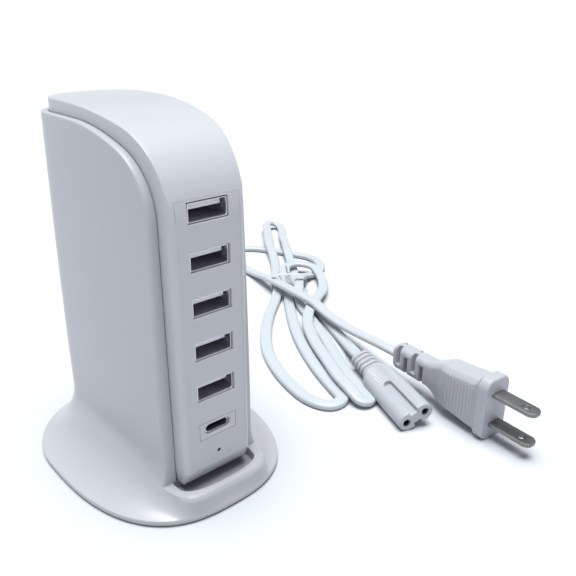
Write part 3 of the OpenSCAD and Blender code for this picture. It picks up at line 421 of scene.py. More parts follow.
# Arcs at the four corners of a rounded rectangle, n + 1 points each
def corner_arcs(w, h, r, n):
    arcs = []
    for k, (cx, cy) in enumerate(((1, 1), (-1, 1), (-1, -1), (1, -1))):
        a = np.radians(90 * k + 90 * np.arange(n + 1) / n)
        arcs.append(np.stack([cx * (w / 2 - r) + r * np.cos(a), cy * (h / 2 - r) + r * np.sin(a)], 1))
    return arcs


def round_rect(w, h, r, n, dv):
    return np.concatenate(corner_arcs(w, h, r, n)) + [0, dv]


def circle(r, n, du=0.0, dv=0.0):
    a = np.linspace(0, 2 * pi, n, endpoint=False)
    return np.stack([du + r * np.cos(a), dv + r * np.sin(a)], 1)


# A right half outline closed with its mirror image, without repeating points on the middle line
def both_halves(right):
    left = (right * [-1, 1])[::-1]
    return np.concatenate([right, left[left[:, 0] < -TINY]])


# Flat points laid at a height, stood up at a depth or set across at x, the same or one for each
def lay(points, z):
    return np.insert(points, 2, z, 1)


def stand(points, y):
    return np.insert(points, 1, y, 1)


def at_x(points, x):
    return np.insert(points, 0, x, 1)


# Flat area between an outer loop and holes, with extra points where it has to bend
def plate(outer, holes=(), extra=()):
    points, edges = [], []
    for loop in (outer, *holes):
        base = len(points)
        points += [Vector(p) for p in loop]
        edges += [(base + i, base + (i + 1) % len(loop)) for i in range(len(loop))]
    points += [Vector(p) for p in extra]
    verts, _, faces, *_ = delaunay_2d_cdt(points, edges, [], 0, TINY)
    verts = np.array([tuple(v) for v in verts])
    keep = []
    for f in faces:
        centre = verts[list(f)].mean(0)
        if inside(centre, outer) and not any(inside(centre, h) for h in holes):
            keep.append(list(f))
    return verts, keep


def inside(p, loop):
    x, y = p
    a, b = np.asarray(loop), np.roll(np.asarray(loop), -1, 0)
    cross = (a[:, 1] > y) != (b[:, 1] > y)
    with np.errstate(divide="ignore", invalid="ignore"):
        at = a[:, 0] + (y - a[:, 1]) * (b[:, 0] - a[:, 0]) / (b[:, 1] - a[:, 1])
    return bool((cross & (x < at)).sum() % 2)


# Heights of the shell's rows, from the foot's edge to the lip and on to the top of the flare
FOOT_RISE = [2.5, 2.65, 2.9, 3.3, 3.9, 4.6, 5.4, 6.2, 6.8, 7.2, 7.6, 8.0, 8.4, 8.75, 9.0, LIP_Z]
CLIMB = list(np.linspace(LIP_Z, FLARE_H, 20)[1:])
WALL_RISE = np.linspace(0, 1, 26)[1:]
ARC_COLS = np.linspace(ARC_START, LAST, 27)[1:]
POCKET, WINDOW = (21.6, 15.6, 2.5), (19.8, 11.8, 1.1)
PATCH_W, PATCH_H, POCKET_BEVEL, POCKET_DRAFT = 14, 10, 0.25, (0.992, 0.988)


# (height, inset) of the rows round the foot's edge and up its slope
def foot_rows():
    low = [(INSIDE_TOP, INSIDE_IN), (PAD_DROP, INSIDE_IN)]
    for a in np.linspace(0, EDGE_TURN, 13)[:-1]:
        share = (1 - cos(a)) / (1 - cos(EDGE_TURN))
        low.append((PAD_DROP + FOOT_EDGE * share, EDGE_IN * (1 - sin(a))))
    left = EDGE_IN * (1 - sin(EDGE_TURN))
    return low + [(z, left * (LIP_Z - z) / (LIP_Z - FOOT_RISE[0])) for z in FOOT_RISE]


# Outer shell: flared skin, rounded rim, lip and slot
def shell():
    s = Shape()
    start_y = RIM_FRONT + RIM_ROUND
    at_flare = skin(FLARE_H)
    tops = [rim.along(t, rim_round(t)) for t in RIM_STEPS]
    index_top = np.array([index_at_y(at_flare, y) for y, _ in tops[:-1]] + [ARC_START, *ARC_COLS])
    first = index_top[0]

    side = []
    for z, inset in foot_rows() + [(z, 0) for z in CLIMB]:
        outline = skin(z, inset)
        cut_at = index_at_y(outline, start_y)
        columns = cut_at + (index_top - first) * (LAST - cut_at) / (LAST - first)
        side.append(lay(at_index(outline, columns), z))
    rows_low = len(side)
    for v in WALL_RISE:
        row = []
        for y, top in tops:
            z = FLARE_H + v * (top - FLARE_H)
            row.append((wall_x(y, z), y, z))
        for k in ARC_COLS:
            a = back_angle(k - ARC_START, N_BACK)
            y = BACK_Y + (BACK_R + standoff(RIM_BACK_Z)) * sin(a)
            z = FLARE_H + v * (rim.height(y, RIM_TOP_ROUND) - FLARE_H)
            r = BACK_R + standoff(z)
            row.append((r * cos(a), BACK_Y + r * sin(a), z))
        side.append(row)
    side = np.array(side)

    # the pocket round the inlet replaces some cells of the back
    low_row = max(i for i in range(rows_low) if side[i, -1, 2] <= INLET_Z - PATCH_H)
    high_row = next(i for i in range(rows_low, len(side)) if side[i, -1, 2] > INLET_Z + PATCH_H)
    at_back = (side[rows_low, :, 0] > PATCH_W) & (side[rows_low, :, 1] > BACK_Y)
    col = int(np.flatnonzero(at_back)[-1])
    skip = np.zeros((len(side) - 1, side.shape[1] - 1), bool)
    skip[low_row:high_row, col:] = True
    s.grid(side, skip=skip)
    pocket(s, side[low_row : high_row + 1, col:])

    front_index = [np.linspace(0, N_FRONT, 9)[:-1], np.linspace(N_FRONT, SIDE_START, 25)[:-1]]
    cut_at_lip = index_at_y(skin(LIP_Z), start_y)
    front_index = np.concatenate([*front_index, np.linspace(SIDE_START, cut_at_lip, 9)]) / cut_at_lip
    front = []
    for z, inset in foot_rows():
        outline = skin(z, inset)
        front.append(lay(at_index(outline, front_index * index_at_y(outline, start_y)), z))
    s.grid(front)

    chain = [("front", z) for z in [LIP_Z] + CLIMB]
    chain += [("front", FLARE_H + v * (tops[0][1] - FLARE_H)) for v in WALL_RISE[:-1]]
    chain += [("arch", t) for t in RIM_STEPS] + [("arc", k) for k in ARC_COLS]
    strip = [rim_section(*link) for link in chain]
    s.grid(strip, flip=True)

    # flat top of the lip between its outer edge, the rim's foot and the slot
    foot_of_rim = np.array(strip[0])[: len(ROUND) + 2, :2]
    loop = [front[-1][:, :2], foot_of_rim[1:], slot_outline(LIP_BEVEL)[::-1]]
    s.sheet(lay, LIP_Z, np.concatenate(loop))
    bevel = [lay(slot_outline(LIP_BEVEL * d), LIP_Z - LIP_BEVEL * e) for d, e in ROUND]
    bevel.append(lay(slot_outline(0), SLOT_FLOOR))
    s.grid(bevel, flip=True)
    s.mirror()
    s.build("shell", "gloss_white", ["outer_shell"], sharp=38)


# Right half of the slot under the front, d wider than its walls
def slot_outline(d):
    reach, half = SLOT_MID_Y - SLOT_FRONT + d, SLOT_HALF + d
    out = []
    for a in np.radians(np.linspace(-90, 0, 40)):
        c, s = cos(a), sin(a)
        out.append((half * abs(c) ** (2 / SLOT_N), SLOT_MID_Y - reach * abs(s) ** (2 / SLOT_N)))
    out.append(((half + SLOT_END) / 2 + 0.12, (SLOT_MID_Y + RIM_FRONT) / 2))
    out.append((SLOT_END, RIM_FRONT))
    return np.array(out)


# Section across the rim: rounded outer edge, flat face, then down beside the inner housing
def rim_section(kind, t):
    r = {"front": RIM_ROUND, "arch": rim_round(t), "arc": RIM_TOP_ROUND}[kind]

    def place(d, inset, off_core=None):
        if kind == "arc":
            a = back_angle(t - ARC_START, N_BACK)
            reach = BACK_R + (standoff(RIM_BACK_Z) - inset if off_core is None else off_core)
            x, y = reach * cos(a), BACK_Y + reach * sin(a)
            return x, y, rim.height(y, d)
        y, z = (RIM_FRONT + d, t) if kind == "front" else rim.along(t, d)
        return wall_x(y, z, inset) if off_core is None else core_x(y) + off_core, y, z

    out = [place(r * d, r * e) for d, e in ROUND]
    seam = ((0, 0.25), (0.06, 0.08), (0.25, 0), (SEAM_DEEP, 0))
    return out + [place(d, 0, SEAM_GAP + more) for d, more in seam]


# Right half of a rounded rectangle round the mains inlet, from the bottom up
def half_loop(w, h, r):
    loop = round_rect(w, h, r, 6, INLET_Z)
    loop = sorted(loop[loop[:, 0] > 0].tolist(), key=lambda p: atan2(p[1] - INLET_Z, p[0]))
    return np.array([(0, INLET_Z - h / 2), *loop, (0, INLET_Z + h / 2)])


# Pocket round the mains inlet in the shell's back
def pocket(s, patch):
    hole, window = half_loop(*POCKET), half_loop(*WINDOW)
    flat = patch[:, :, [0, 2]]
    below = [(0, z) for z in flat[1:, -1, 1] if z < hole[0, 1]]
    above = [(0, z) for z in flat[:-1, -1, 1] if z > hole[-1, 1]]
    outer = [*flat[0], *below, *hole, *above, *flat[-1, ::-1], *flat[-2:0:-1, 0]]
    clear_w, clear_h = POCKET[0] / 2 + 0.6, POCKET[1] / 2 + 0.6
    free = flat[1:-1, 1:-1].reshape(-1, 2)
    free = free[(free[:, 0] > clear_w) | (abs(free[:, 1] - INLET_Z) > clear_h)]
    verts, faces = plate(outer, (), free)

    def surface(u, v):
        outline = skin(v)[NEAR_BACK:]
        return float(np.interp(u, outline[::-1, 0], outline[::-1, 1]))

    known = {(round(x, 4), round(z, 4)): y for x, y, z in patch.reshape(-1, 3)}
    ys = [known.get((round(u, 4), round(v, 4))) or surface(u, v) for u, v in verts]
    s.add(stand(verts, ys), faces)
    ys = np.array([surface(u, v) for u, v in hole])
    small = (hole - [0, INLET_Z]) * POCKET_DRAFT + [0, INLET_Z]
    s.grid([stand(hole, ys), stand(small, ys - POCKET_BEVEL), stand(small, INLET_FACE)])
    s.sheet(stand, INLET_FACE, np.concatenate([small, window[::-1]]))
    s.grid([stand(window, INLET_FACE), stand(window, INLET_FACE - INLET_DEEP)])


# Flat cover under the foot, open for the rubber feet and the screw heads
def cover():
    s = Shape()
    loop = both_halves(skin(COVER_Z, COVER_IN)[::4])
    pads = [circle(PAD_HOLE_R, 32, x, y) for x, y in PADS]
    screws = [circle(SCREW_HOLE_R, 24, x, y) for x, y in SCREWS]
    for z, holes in ((COVER_LOW, pads + screws), (COVER_HIGH, screws)):
        s.sheet(lay, z, loop, holes, flip=True)
    for ring in pads + screws:
        s.tube([lay(ring, z) for z in (COVER_LOW, COVER_HIGH)])
    s.tube([lay(loop, z) for z in (COVER_LOW, COVER_TOP)])
    s.build("cover", "base_white", ["base_cover"], sharp=40)


# Floor and back of the slot, just under the lip: a grey sheet of painted shade for the shaded recess
def slot_pan():
    s = Shape()
    s.sheet(lay, SLOT_FLOOR + 0.01, both_halves(slot_outline(0)))
    corners = ((-SLOT_HALF, SLOT_FLOOR), (SLOT_HALF, SLOT_FLOOR), (SLOT_HALF, LIP_Z), (-SLOT_HALF, LIP_Z))
    s.cap(stand(corners, RIM_FRONT))
    s.build("slot_pan", "slot_painted_shade")


# Below its front edge the housing draws in to a straight lower front with square corners
def chin(x, y, z):
    share = max(0.0, CHIN_Z - z) / (CHIN_Z - CORE_FLOOR)
    return x - CHIN_SIDE * share * min(1, abs(x) / 10), y + (max(y, CHIN_IN - FRONT) - y) * share


def front_y_at(z):
    if z <= arch.brow_z:
        return -FRONT
    return arch.brow_y - sqrt(BROW_R**2 - (z - arch.brow_z) ** 2)


# Inner housing: flat front running over the arch, bowed sides, round back
CHIN_ROWS = [CORE_FLOOR, 10.5, 12, 13.2, CHIN_Z - CHIN_EASE, CHIN_Z, CHIN_Z + CHIN_EASE, 14.6]
CORE_ROWS = 32
INLET_W, INLET_H = 10.5, 6


def core():
    s = Shape()
    cols = []
    for a in np.linspace(-pi / 2, CORNER_A, 11)[:-1]:
        share = 1 - abs(sin(a))
        cols.append((CORNER_CX + CORNER_R * cos(a), CORNER_CY + CORNER_R * sin(a), share))
    ys = [arch.along(t)[0] for t in ARCH_STEPS]
    cols += [(core_x(y), y, 1.0) for y in sorted({round(y, 5) for y in ys if y > CORNER_CY - 0.1})]
    for k in np.linspace(0, 1, 27)[1:]:
        a = back_angle(k, 1)
        cols.append((BACK_R * cos(a), BACK_Y + BACK_R * sin(a), 1.0))

    # sides up to the fillet, then the fillet; share is how much of it a column has
    side = np.zeros((len(CHIN_ROWS) + CORE_ROWS, len(cols), 3))
    strip = []
    for i, (x, y, share) in enumerate(cols):
        r, top = CORE_FILLET * share, arch.height(y)
        slope = (arch.height(y + 0.01) - arch.height(y - 0.01)) / 0.02 if y > -FRONT + 0.05 else 50
        n = np.array([-slope, 1]) / hypot(slope, 1)
        high = top - r * (n[1] if share > 0.5 else share)
        side[:, i, 0], side[:, i, 1] = x, y
        side[:, i, 2] = CHIN_ROWS + list(np.linspace(CHIN_ROWS[-1], high, CORE_ROWS + 1)[1:])
        for k, z in enumerate(CHIN_ROWS):
            side[k, i, :2] = chin(x, y, z)
        radial = np.array([x, max(0, y - BACK_Y)]) / hypot(x, max(0, y - BACK_Y))
        straight_down = share < 1 or y > BACK_Y
        out = []
        for d, e in ROUND:
            yy, zz = (y, top - r * d) if straight_down else (y - n[0] * r * d, top - n[1] * r * d)
            out.append((x - radial[0] * r * e, yy - radial[1] * r * e, zz))
        side[-1, i] = out[0]
        strip.append(out)
    middle = (side[1:, 1:] + side[:-1, :-1]) / 2
    at_inlet = (middle[..., 1] > BACK_Y) & (middle[..., 0] < INLET_W)
    s.grid(side, skip=at_inlet & (abs(middle[..., 2] - INLET_Z) < INLET_H))
    s.grid(strip, flip=True)

    # top, from one fillet to the middle line
    edge = np.array(strip)[:, -1]
    top = np.array([[(x * (1 - u), y, z) for u in np.linspace(0, 1, 13)] for x, y, z in edge[1:]])
    for row in top:
        for p in row:
            if p[1] > BACK_Y:
                p[2] = arch.height(p[1])
    over = top[top[:, 0, 2] > PANEL_TOP + 0.3]
    s.grid(over, flip=True)

    # front between the vertical corners, with a window for the panel
    x_edge, first = edge[0][0], over[0, 0]
    outline = [(0, CORE_FLOOR)] + [(chin(x_edge, -FRONT, z)[0], z) for z in CHIN_ROWS]
    outline += [(x_edge, z) for z in np.linspace(CHIN_ROWS[-1], arch.brow_z, 30)[1:]]
    outline += [(x, z) for x, _, z in edge[1:] if z < first[2] - TINY]
    outline += [(first[0], first[2]), (0, first[2])]
    outline += [(0, PANEL_TOP), (PANEL_HALF, PANEL_TOP), (PANEL_HALF, PANEL_LOW), (0, PANEL_LOW)]
    outline += [(0, z) for z in CHIN_ROWS[-2:0:-1]]
    bends = [(x, z) for z in CHIN_ROWS[1:-1] for x in (4, 8, 12)]
    bends += [(x, 98 + i) for i in range(7) for x in (11.8, 12.8, 13.8)]
    bends += [(x, PANEL_TOP + up) for up in (0.4, 0.9) for x in (2, 4, 6, 8, 10)]

    def depth(z):
        return chin(0, -FRONT, z)[1] if z < CHIN_Z else front_y_at(z)

    s.sheet(stand, depth, outline, (), bends)
    jamb = [(0, PANEL_LOW)] + [(PANEL_HALF, z) for z in np.linspace(PANEL_LOW, PANEL_TOP, 60)]
    jamb.append((0, PANEL_TOP))
    s.grid([stand(jamb, [depth(v) + deep for _, v in jamb]) for deep in (0, 1)])
    s.mirror()
    s.build("core", "core_white", ["core_housing"], sharp=18)


# Wall round an opening or a plate: rounded at its front edge, then straight to a depth
def edge_wall(s, loop_at, depth_at, back, r, steps=COARSE_ROUND, flip=True):
    rows = []
    for d, e in steps:
        loop = loop_at(r * d)
        rows.append(stand(loop, [depth_at(v) + r * e for _, v in loop]))
    rows.append(stand(loop_at(0), back))
    s.tube(rows, flip=flip)


# Front panel with five USB-A openings, one for the USB-C insert and one for the light
def panel():
    s = Shape()
    half, low, top = PANEL_HALF - PANEL_GAP, PANEL_LOW + PANEL_GAP, PANEL_TOP - PANEL_GAP
    side = np.linspace(low + PANEL_EDGE, top - PANEL_EDGE, 70)

    def outer_loop(d):
        return both_halves(np.array([(half - d, z) for z in (low + d, *side, top - d)]))

    holes = [lambda d, z=z: round_rect(14 + 2 * d, 6.4 + 2 * d, 0.3 + d, 5, z) for z in PORTS_Z]
    holes.append(lambda d: round_rect(14 + 2 * d, 6.1 + 2 * d, 0.1 + d, 3, USBC_Z))
    holes.append(lambda d: circle(LED_R + 0.3 * d, 24, dv=LED_Z))
    bends = [(x, z) for z in np.linspace(97.4, 103, 8) for x in (-9, -8, 8, 9)]
    s.sheet(stand, front_y_at, outer_loop(PANEL_EDGE), [h(PANEL_EDGE) for h in holes], bends)
    for hole in holes:
        edge_wall(s, hole, front_y_at, -FRONT + PANEL_T, PANEL_EDGE)
    edge_wall(s, outer_loop, front_y_at, -FRONT + PANEL_T, PANEL_EDGE, flip=False)
    s.build("panel", "panel_white", ["front_panel"], sharp=40)


def bezel():
    s = Shape()
    edge, mouth_edge = 0.12, 0.55

    def outer(d):
        return round_rect(13.8 - 2 * d, 5.9 - 2 * d, 0.25, 3, USBC_Z)

    def mouth(d):
        w, h = 9.5 + 2 * d, 3.5 + 2 * d
        return round_rect(w, h, h / 2 - 1e-4, 14, USBC_Z)

    s.sheet(stand, -FRONT, outer(edge), [mouth(mouth_edge)])
    edge_wall(s, mouth, lambda z: -FRONT, -FRONT + 2.8, mouth_edge, ROUND)
    edge_wall(s, outer, lambda z: -FRONT, -FRONT + 2, edge, flip=False)
    s.build("bezel", "panel_white", ["usb_c_bezel"], sharp=40)


# USB-A receptacle: depth of its front and back, size and wall; then the same for its tongue
PORT_FRONT, PORT_BACK, PORT_W, PORT_H, PORT_WALL = -39.3, -25, 13.35, 5.75, 0.3
TONGUE_TIP, TONGUE_BACK, TONGUE_W, TONGUE_H, TONGUE_UP = -37.6, -25.2, 11.2, 1.6, 1.35


# One receptacle: folded frame just behind the panel's face, inside walls in a darker steel of painted
# shade, tongue with contacts, springs
def usb_a(number, z):
    front, wall = PORT_FRONT, PORT_WALL

    def ring_rows(w, h, r, n, dv, profile):
        return [stand(round_rect(w - 2 * d, h - 2 * d, r, n, dv), y) for d, y in profile]

    s = Shape()
    outer = ((0, -30), (0, front + 0.12), (0.04, front + 0.03), (0.12, front))
    inner = ((wall - 0.12, front), (wall - 0.04, front + 0.03), (wall, front + 0.12), (wall, front + 0.5))
    rows = ring_rows(PORT_W, PORT_H, 0.4, 5, z, outer) + ring_rows(PORT_W, PORT_H, 0.3, 5, z, inner)
    s.tube(rows, flip=True)
    s.build(f"port_frame_{number}", "port_steel", [f"usb_a_shell_{number}"], sharp=40)

    # inside walls and back in the darker steel, painted shade of the deep opening
    s = Shape()
    rows = ring_rows(PORT_W, PORT_H, 0.3, 5, z, ((wall, front + 0.5), (wall, PORT_BACK)))
    s.tube(rows, flip=True)
    s.cap(rows[-1])
    s.build(f"port_inside_{number}", "port_painted_shade", sharp=40)

    s = Shape()
    profile = ((0.25, TONGUE_TIP), (0.08, TONGUE_TIP + 0.08), (0, TONGUE_TIP + 0.25), (0, TONGUE_BACK))
    rows = ring_rows(TONGUE_W, TONGUE_H, 0.2, 3, z + TONGUE_UP, profile)
    s.tube(rows, flip=True)
    s.cap(rows[0])
    s.build(f"port_tongue_{number}", "tongue_plastic", [f"usb_a_tongue_{number}"], sharp=35)

    # contact pads; the pads of the USB-C port go with the lowest receptacle
    s = Shape()
    under = z + TONGUE_UP - TONGUE_H / 2
    for x in (-3.5, -1.25, 1.25, 3.5):
        ends = ((TONGUE_TIP + 0.5, 0.02), (-28, 0.12))
        s.add([(x + a, y, under - c) for a in (-0.45, 0.45) for y, c in ends], [(0, 1, 3, 2)])
    if number == len(PORTS_Z):
        for x in np.arange(-2.75, 2.8, 0.5):
            pad = [(x + a, y, USBC_Z + 0.36) for a in (-0.12, 0.12) for y in (-36.4, -32)]
            s.add(pad, [(0, 1, 3, 2)], flip=True)
    s.build(f"port_pads_{number}", "contact_gold", ["port_contacts"] if number == 1 else ())

    s = Shape()
    for side in (-1, 1):
        x = side * (PORT_W / 2 - wall - 0.02)
        bends = ((front + 0.9, 0.05), (-37, 0.45), (-33, 0.1))
        strip = [(x - side * d, y, z + k) for y, d in bends for k in (-0.9, 0.9)]
        s.add(strip, [(0, 1, 3, 2), (2, 3, 5, 4)], flip=side > 0)
    s.build(f"port_springs_{number}", "port_steel")


# Mains lead: middle of the cord from the connector to the plug, in tenths of a millimetre here
# and in metres below; a point without a height lies on the floor
ON_FLOOR = 15
ROUTE = [
    (970, -120, 54), (1010, -40, 40), (1060, 50, 23), (1120, 180), (1180, 320), (1230, 460),
    (1280, 600, 19), (1337, 713, 29), (1410, 830, 17), (1490, 930), (1570, 1050, 22), (1660, 1190, 48),
    (1760, 1330, 42), (1860, 1470, 18), (1940, 1570, 18), (1980, 1650, 28), (1940, 1700, 44),
    (1870, 1660, 54), (1780, 1540, 60), (1640, 1350, 54), (1530, 1170, 34), (1440, 1040, 20),
    (1340, 920, 22), (1246, 786, 29), (1140, 680, 17), (1010, 570), (870, 430), (740, 260), (660, 90),
    (615, -70), (605, -190), (640, -270), (710, -270), (745, -180), (790, -50), (860, 110), (950, 280),
    (1060, 450), (1170, 600), (1292, 750, 29), (1340, 830, 40), (1390, 910, 52), (1470, 950, 56),
    (1540, 920, 56), (1570, 840, 52), (1530, 740, 44), (1470, 650, 36), (1390, 570, 38), (1300, 510, 49),
    (1210, 455, 49), (1110, 380, 49), (1010, 270, 49), (920, 120, 48), (850, -30, 48), (790, -160, 48),
    (755, -270, 46), (745, -345, 28), (790, -350, 18), (825, -260), (880, -120), (955, 30), (1030, 170),
    (1095, 310), (1150, 430), (1200, 540, 18), (1265, 630, 50), (1340, 710, 60), (1415, 775, 50),
    (1490, 805, 28), (1570, 820), (1660, 870), (1720, 960), (1730, 1060), (1685, 1170), (1630, 1290),
    (1570, 1400), (1490, 1460), (1410, 1450), (1350, 1370), (1320, 1250), (1290, 1120, 18), (1265, 990, 36),
    (1240, 880, 58), (1215, 770, 74), (1200, 650, 81), (1190, 520, 81), (1180, 410, 81), (1155, 290, 68),
    (1130, 160, 66), (1100, 20, 80), (1065, -110, 104), (1030, -240, 127), (1023, -290, 130),
]
ROUTE = [(x / 1e4, y / 1e4, (z[0] if z else ON_FLOOR) / 1e4) for x, y, *z in ROUTE]
CORD_W, CORD_T, CORD_STEP, FLOOR_GAP = 5.6, 3.0, 1.4, 0.02


# The route in millimetres as a curve through its points, a little smoothed
def smooth_route():
    p = np.array(ROUTE) * 1000
    p = np.concatenate([[2 * p[0] - p[1]], p, [2 * p[-1] - p[-2]]])
    out = []
    for i in range(1, len(p) - 2):
        a, b, c, d = p[i - 1 : i + 3]
        n = max(2, ceil(np.linalg.norm(c - b) / CORD_STEP))
        for t in np.arange(n) / n:
            bend, twist = 2 * a - 5 * b + 4 * c - d, 3 * b - a - 3 * c + d
            out.append(0.5 * (2 * b + (c - a) * t + bend * t**2 + twist * t**3))
    out.append(p[-2])
    out = np.array(out)
    for _ in range(3):
        out[1:-1] = 0.25 * out[:-2] + 0.5 * out[1:-1] + 0.25 * out[2:]
    return out


# Two joined round strands with a shallow valley between them
def cord_section():
    out = []
    for a in 2 * pi * np.arange(24) / 24:
        c, s = cos(a), sin(a)
        x = CORD_W / 2 * copysign(abs(c) ** 0.8, c)
        z = CORD_T / 2 * copysign(abs(s) ** 0.62, s)
        out.append((x, z * (1 - 0.11 * exp(-((x / 0.62) ** 2)))))
    return np.array(out)


def unit(vectors):
    return vectors / np.linalg.norm(vectors, axis=1)[:, None]


def cord():
    path = smooth_route()
    along = unit(np.gradient(path, axis=0))
    across = unit(np.stack([along[:, 1], -along[:, 0], np.zeros(len(path))], 1))
    for _ in range(6):
        across[1:-1] = (across[:-2] + across[1:-1] + across[2:]) / 3
    across = unit(across)
    up = np.cross(across, along)
    profile = cord_section()
    rings = [[p[0] * a + p[1] * u for p in profile] for a, u in zip(across, up)]
    tube = path[:, None] + np.array(rings)
    tube[:, :, 2] = np.maximum(tube[:, :, 2], FLOOR_GAP)
    s = Shape()
    s.tube(tube, flip=True)
    s.cap(tube[0])
    s.cap(tube[-1], flip=True)
    length = float(np.linalg.norm(np.diff(path, axis=0), axis=1).sum())
    piece = s.build("cord", "cord_white", ["lead_cord"], sharp=60)
    return piece, path, length


# Rounded rectangle with the same number of points whatever its size
def section(w, h, r, n_arc, n_w, n_h):
    arcs = corner_arcs(w, h, min(r, w / 2 - 0.01, h / 2 - 0.01), n_arc)
    out = []
    for arc, after, n in zip(arcs, arcs[1:] + arcs[:1], (n_w, n_h, n_w, n_h)):
        out += [*arc[:-1], *(arc[-1] + (after[0] - arc[-1]) * i / n for i in range(n))]
    return np.array(out)


# How far a rounded end draws in, from the distance to its tip
def round_end(to_tip, r):
    return r - sqrt(max(0, r * r - max(0, r - to_tip) ** 2))


# Depth of a cut with rounded edges, from the distance into it
def cut(inside_by, depth, r):
    return min(depth, round_end(-inside_by, r) if inside_by < 0 else r + inside_by * 12)


# Place counted in ribs from the first, and distance to the nearest rib
def nearest_rib(x, first, pitch):
    k = (x - first) / pitch
    return k, abs(k - round(k)) * pitch


def lead_end(place, heading, roll):
    turn = Matrix.Rotation(radians(heading), 4, "Z") @ Matrix.Rotation(radians(roll), 4, "X")
    return Matrix.Translation(place) @ turn


CONNECTOR_AT = lead_end((97, -12, 5.4), -110.8, 25)
PLUG_AT = lead_end((102.3, -29, 13), -95, 0)
TIP_X, NOSE_ROUND, HOLE_Y, HOLE_R, HOLE_IN, HOLE_EDGE = 50, 0.75, 4.3, 1.6, 15, 0.2
RINGS, RING_AT, RING_HALF, RING_DEEP, RELIEF_END = [0, 3, 6, 9], 2.4, 0.6, 0.75, 12.2
NECK_FROM, NECK_LEN, GROOVE_FROM, GROOVE_HALF, GROOVE_DEEP = 11.2, 8.5, 29.2, 1.75, 1.6
GRIP_AT, GRIP_STEP, GRIP_HALF, GRIP_RIB = 15, 1.7, 3.1, 0.30
RING_STEPS = (0.5, 1.0, 1.5, 1.62, 1.74, 1.82, 1.86, 2.2, 2.6, 2.94, 2.98, 3.06, 3.18, 3.3)


# Connector: ribbed strain relief, widening neck, two-lobed nose
def connector():
    end = TIP_X - NOSE_ROUND
    steps = [0, 0.1, 0.3] + [x + d for x in RINGS for d in RING_STEPS]
    for span in ((12.5, 20, 0.5), (14.6, 29.2, 0.11), (26.8, 29.4, 0.12), (30, 49, 1.5)):
        steps += list(np.arange(*span))
    steps = np.array(sorted({round(float(x), 3) for x in steps}))
    nose = end + NOSE_ROUND * np.sin(np.radians(np.linspace(0, 90, 9)))
    rows = []
    for x in np.concatenate([steps[steps < end - 0.1], nose]):
        grow = ease((x - NECK_FROM) / NECK_LEN)
        shrink = 0.0
        if x < RELIEF_END:
            gap = min(abs(x - (ring + RING_AT)) for ring in RINGS)
            shrink = cut(RING_HALF - gap, RING_DEEP, 0.28)
        if x < 0.3:
            shrink = round_end(x, 0.3)
        if x > end:
            shrink = round_end(TIP_X - x, NOSE_ROUND)
        w, h = 9.4 + 5.6 * grow - 2 * shrink, 6 + 1.8 * grow - 2 * shrink
        out = []
        for y, z in section(w, h, h / 2 - 0.02, 10, 72, 1):
            flat = h / 2 - abs(z) < 0.4
            sink = 0.0
            if flat and x > 26:
                inside_by = GROOVE_HALF - hypot(min(0, x - GROOVE_FROM), y)
                sink = cut(inside_by, GROOVE_DEEP, 0.4)
            if flat and 14.5 < x < 29:
                k, near = nearest_rib(x - 0.35 * GRIP_STEP * (y / 2.7) ** 2, GRIP_AT, GRIP_STEP)
                if -0.3 < k < 7.4 and abs(y) < GRIP_HALF:
                    fade = ease((GRIP_HALF - abs(y)) / 0.6)
                    sink = GRIP_RIB * fade * exp(-((near / 0.30) ** 2))
            out.append((x, y, copysign(max(0, abs(z) - sink), z)))
        rows.append(out)
    s = Shape()
    s.tube(rows)
    s.cap(rows[0], flip=True)
    holes = [circle(HOLE_R + HOLE_EDGE, 36, y) for y in (-HOLE_Y, HOLE_Y)]
    s.sheet(at_x, TIP_X, np.array(rows[-1])[:, 1:], holes)
    for y in (-HOLE_Y, HOLE_Y):
        wall = []
        for d, e in COARSE_ROUND:
            wall.append(at_x(circle(HOLE_R + HOLE_EDGE * d, 36, y), TIP_X - HOLE_EDGE * e))
        wall.append(at_x(circle(HOLE_R, 36, y), TIP_X - HOLE_IN))
        s.tube(wall, flip=True)
        s.cap(wall[-1])
    s.move(CONNECTOR_AT)
    return s.build("connector", "lead_white", ["lead_connector"], sharp=50)


# Split metal sleeves just inside the connector's two holes
def sleeves():
    s = Shape()
    profile = ((34.5, 1.57), (49.3, 1.57), (49.6, 1.5), (49.65, 1.36), (49.5, 1.18), (36, 1.14))
    for side in (-1, 1):
        rows = [at_x(circle(r, 33, side * HOLE_Y)[:-1], x) for x, r in profile]
        s.grid(rows)
        s.cap(rows[-1])
    s.move(CONNECTOR_AT)
    return s.build("sleeves", "nickel", ["connector_contacts"], sharp=40)


PLUG_LEN, FLANGE_T, FLANGE_W, FLANGE_H, FLANGE_ROUND, FLANGE_END = 52, 4.5, 13.4, 26, 0.35, 0.8
FLANGE = PLUG_LEN - FLANGE_T
RELIEF_LEN, RELIEF_HALF, SHOULDER_TO = 20, 3.95, 31
SLOT_X, SLOT_W, SLOT_REACH, SLOT_DEEP = (2.5, 6.9, 11.3, 15.7), 2.4, 2.6, 2.7
SLOT_STEPS = (-0.3, -0.2, -0.1, 0, 0.1, 0.2, 0.3, 0.6, 1.2, 1.8, 2.1, 2.2, 2.3, 2.4, 2.5, 2.6, 2.7, 3.2)
FLANGE_STEPS = (-0.5, -0.35, -0.2, -0.08, -0.01, 0, 0.05, 0.15, 0.35, 0.6, 1.5, 2.6)
PLUG_RIB_AT, PLUG_RIB_STEP, PLUG_RIB_HALF, PLUG_RIB, PANEL_RISE = 32.4, 1.6, 7.6, 0.34, 0.55


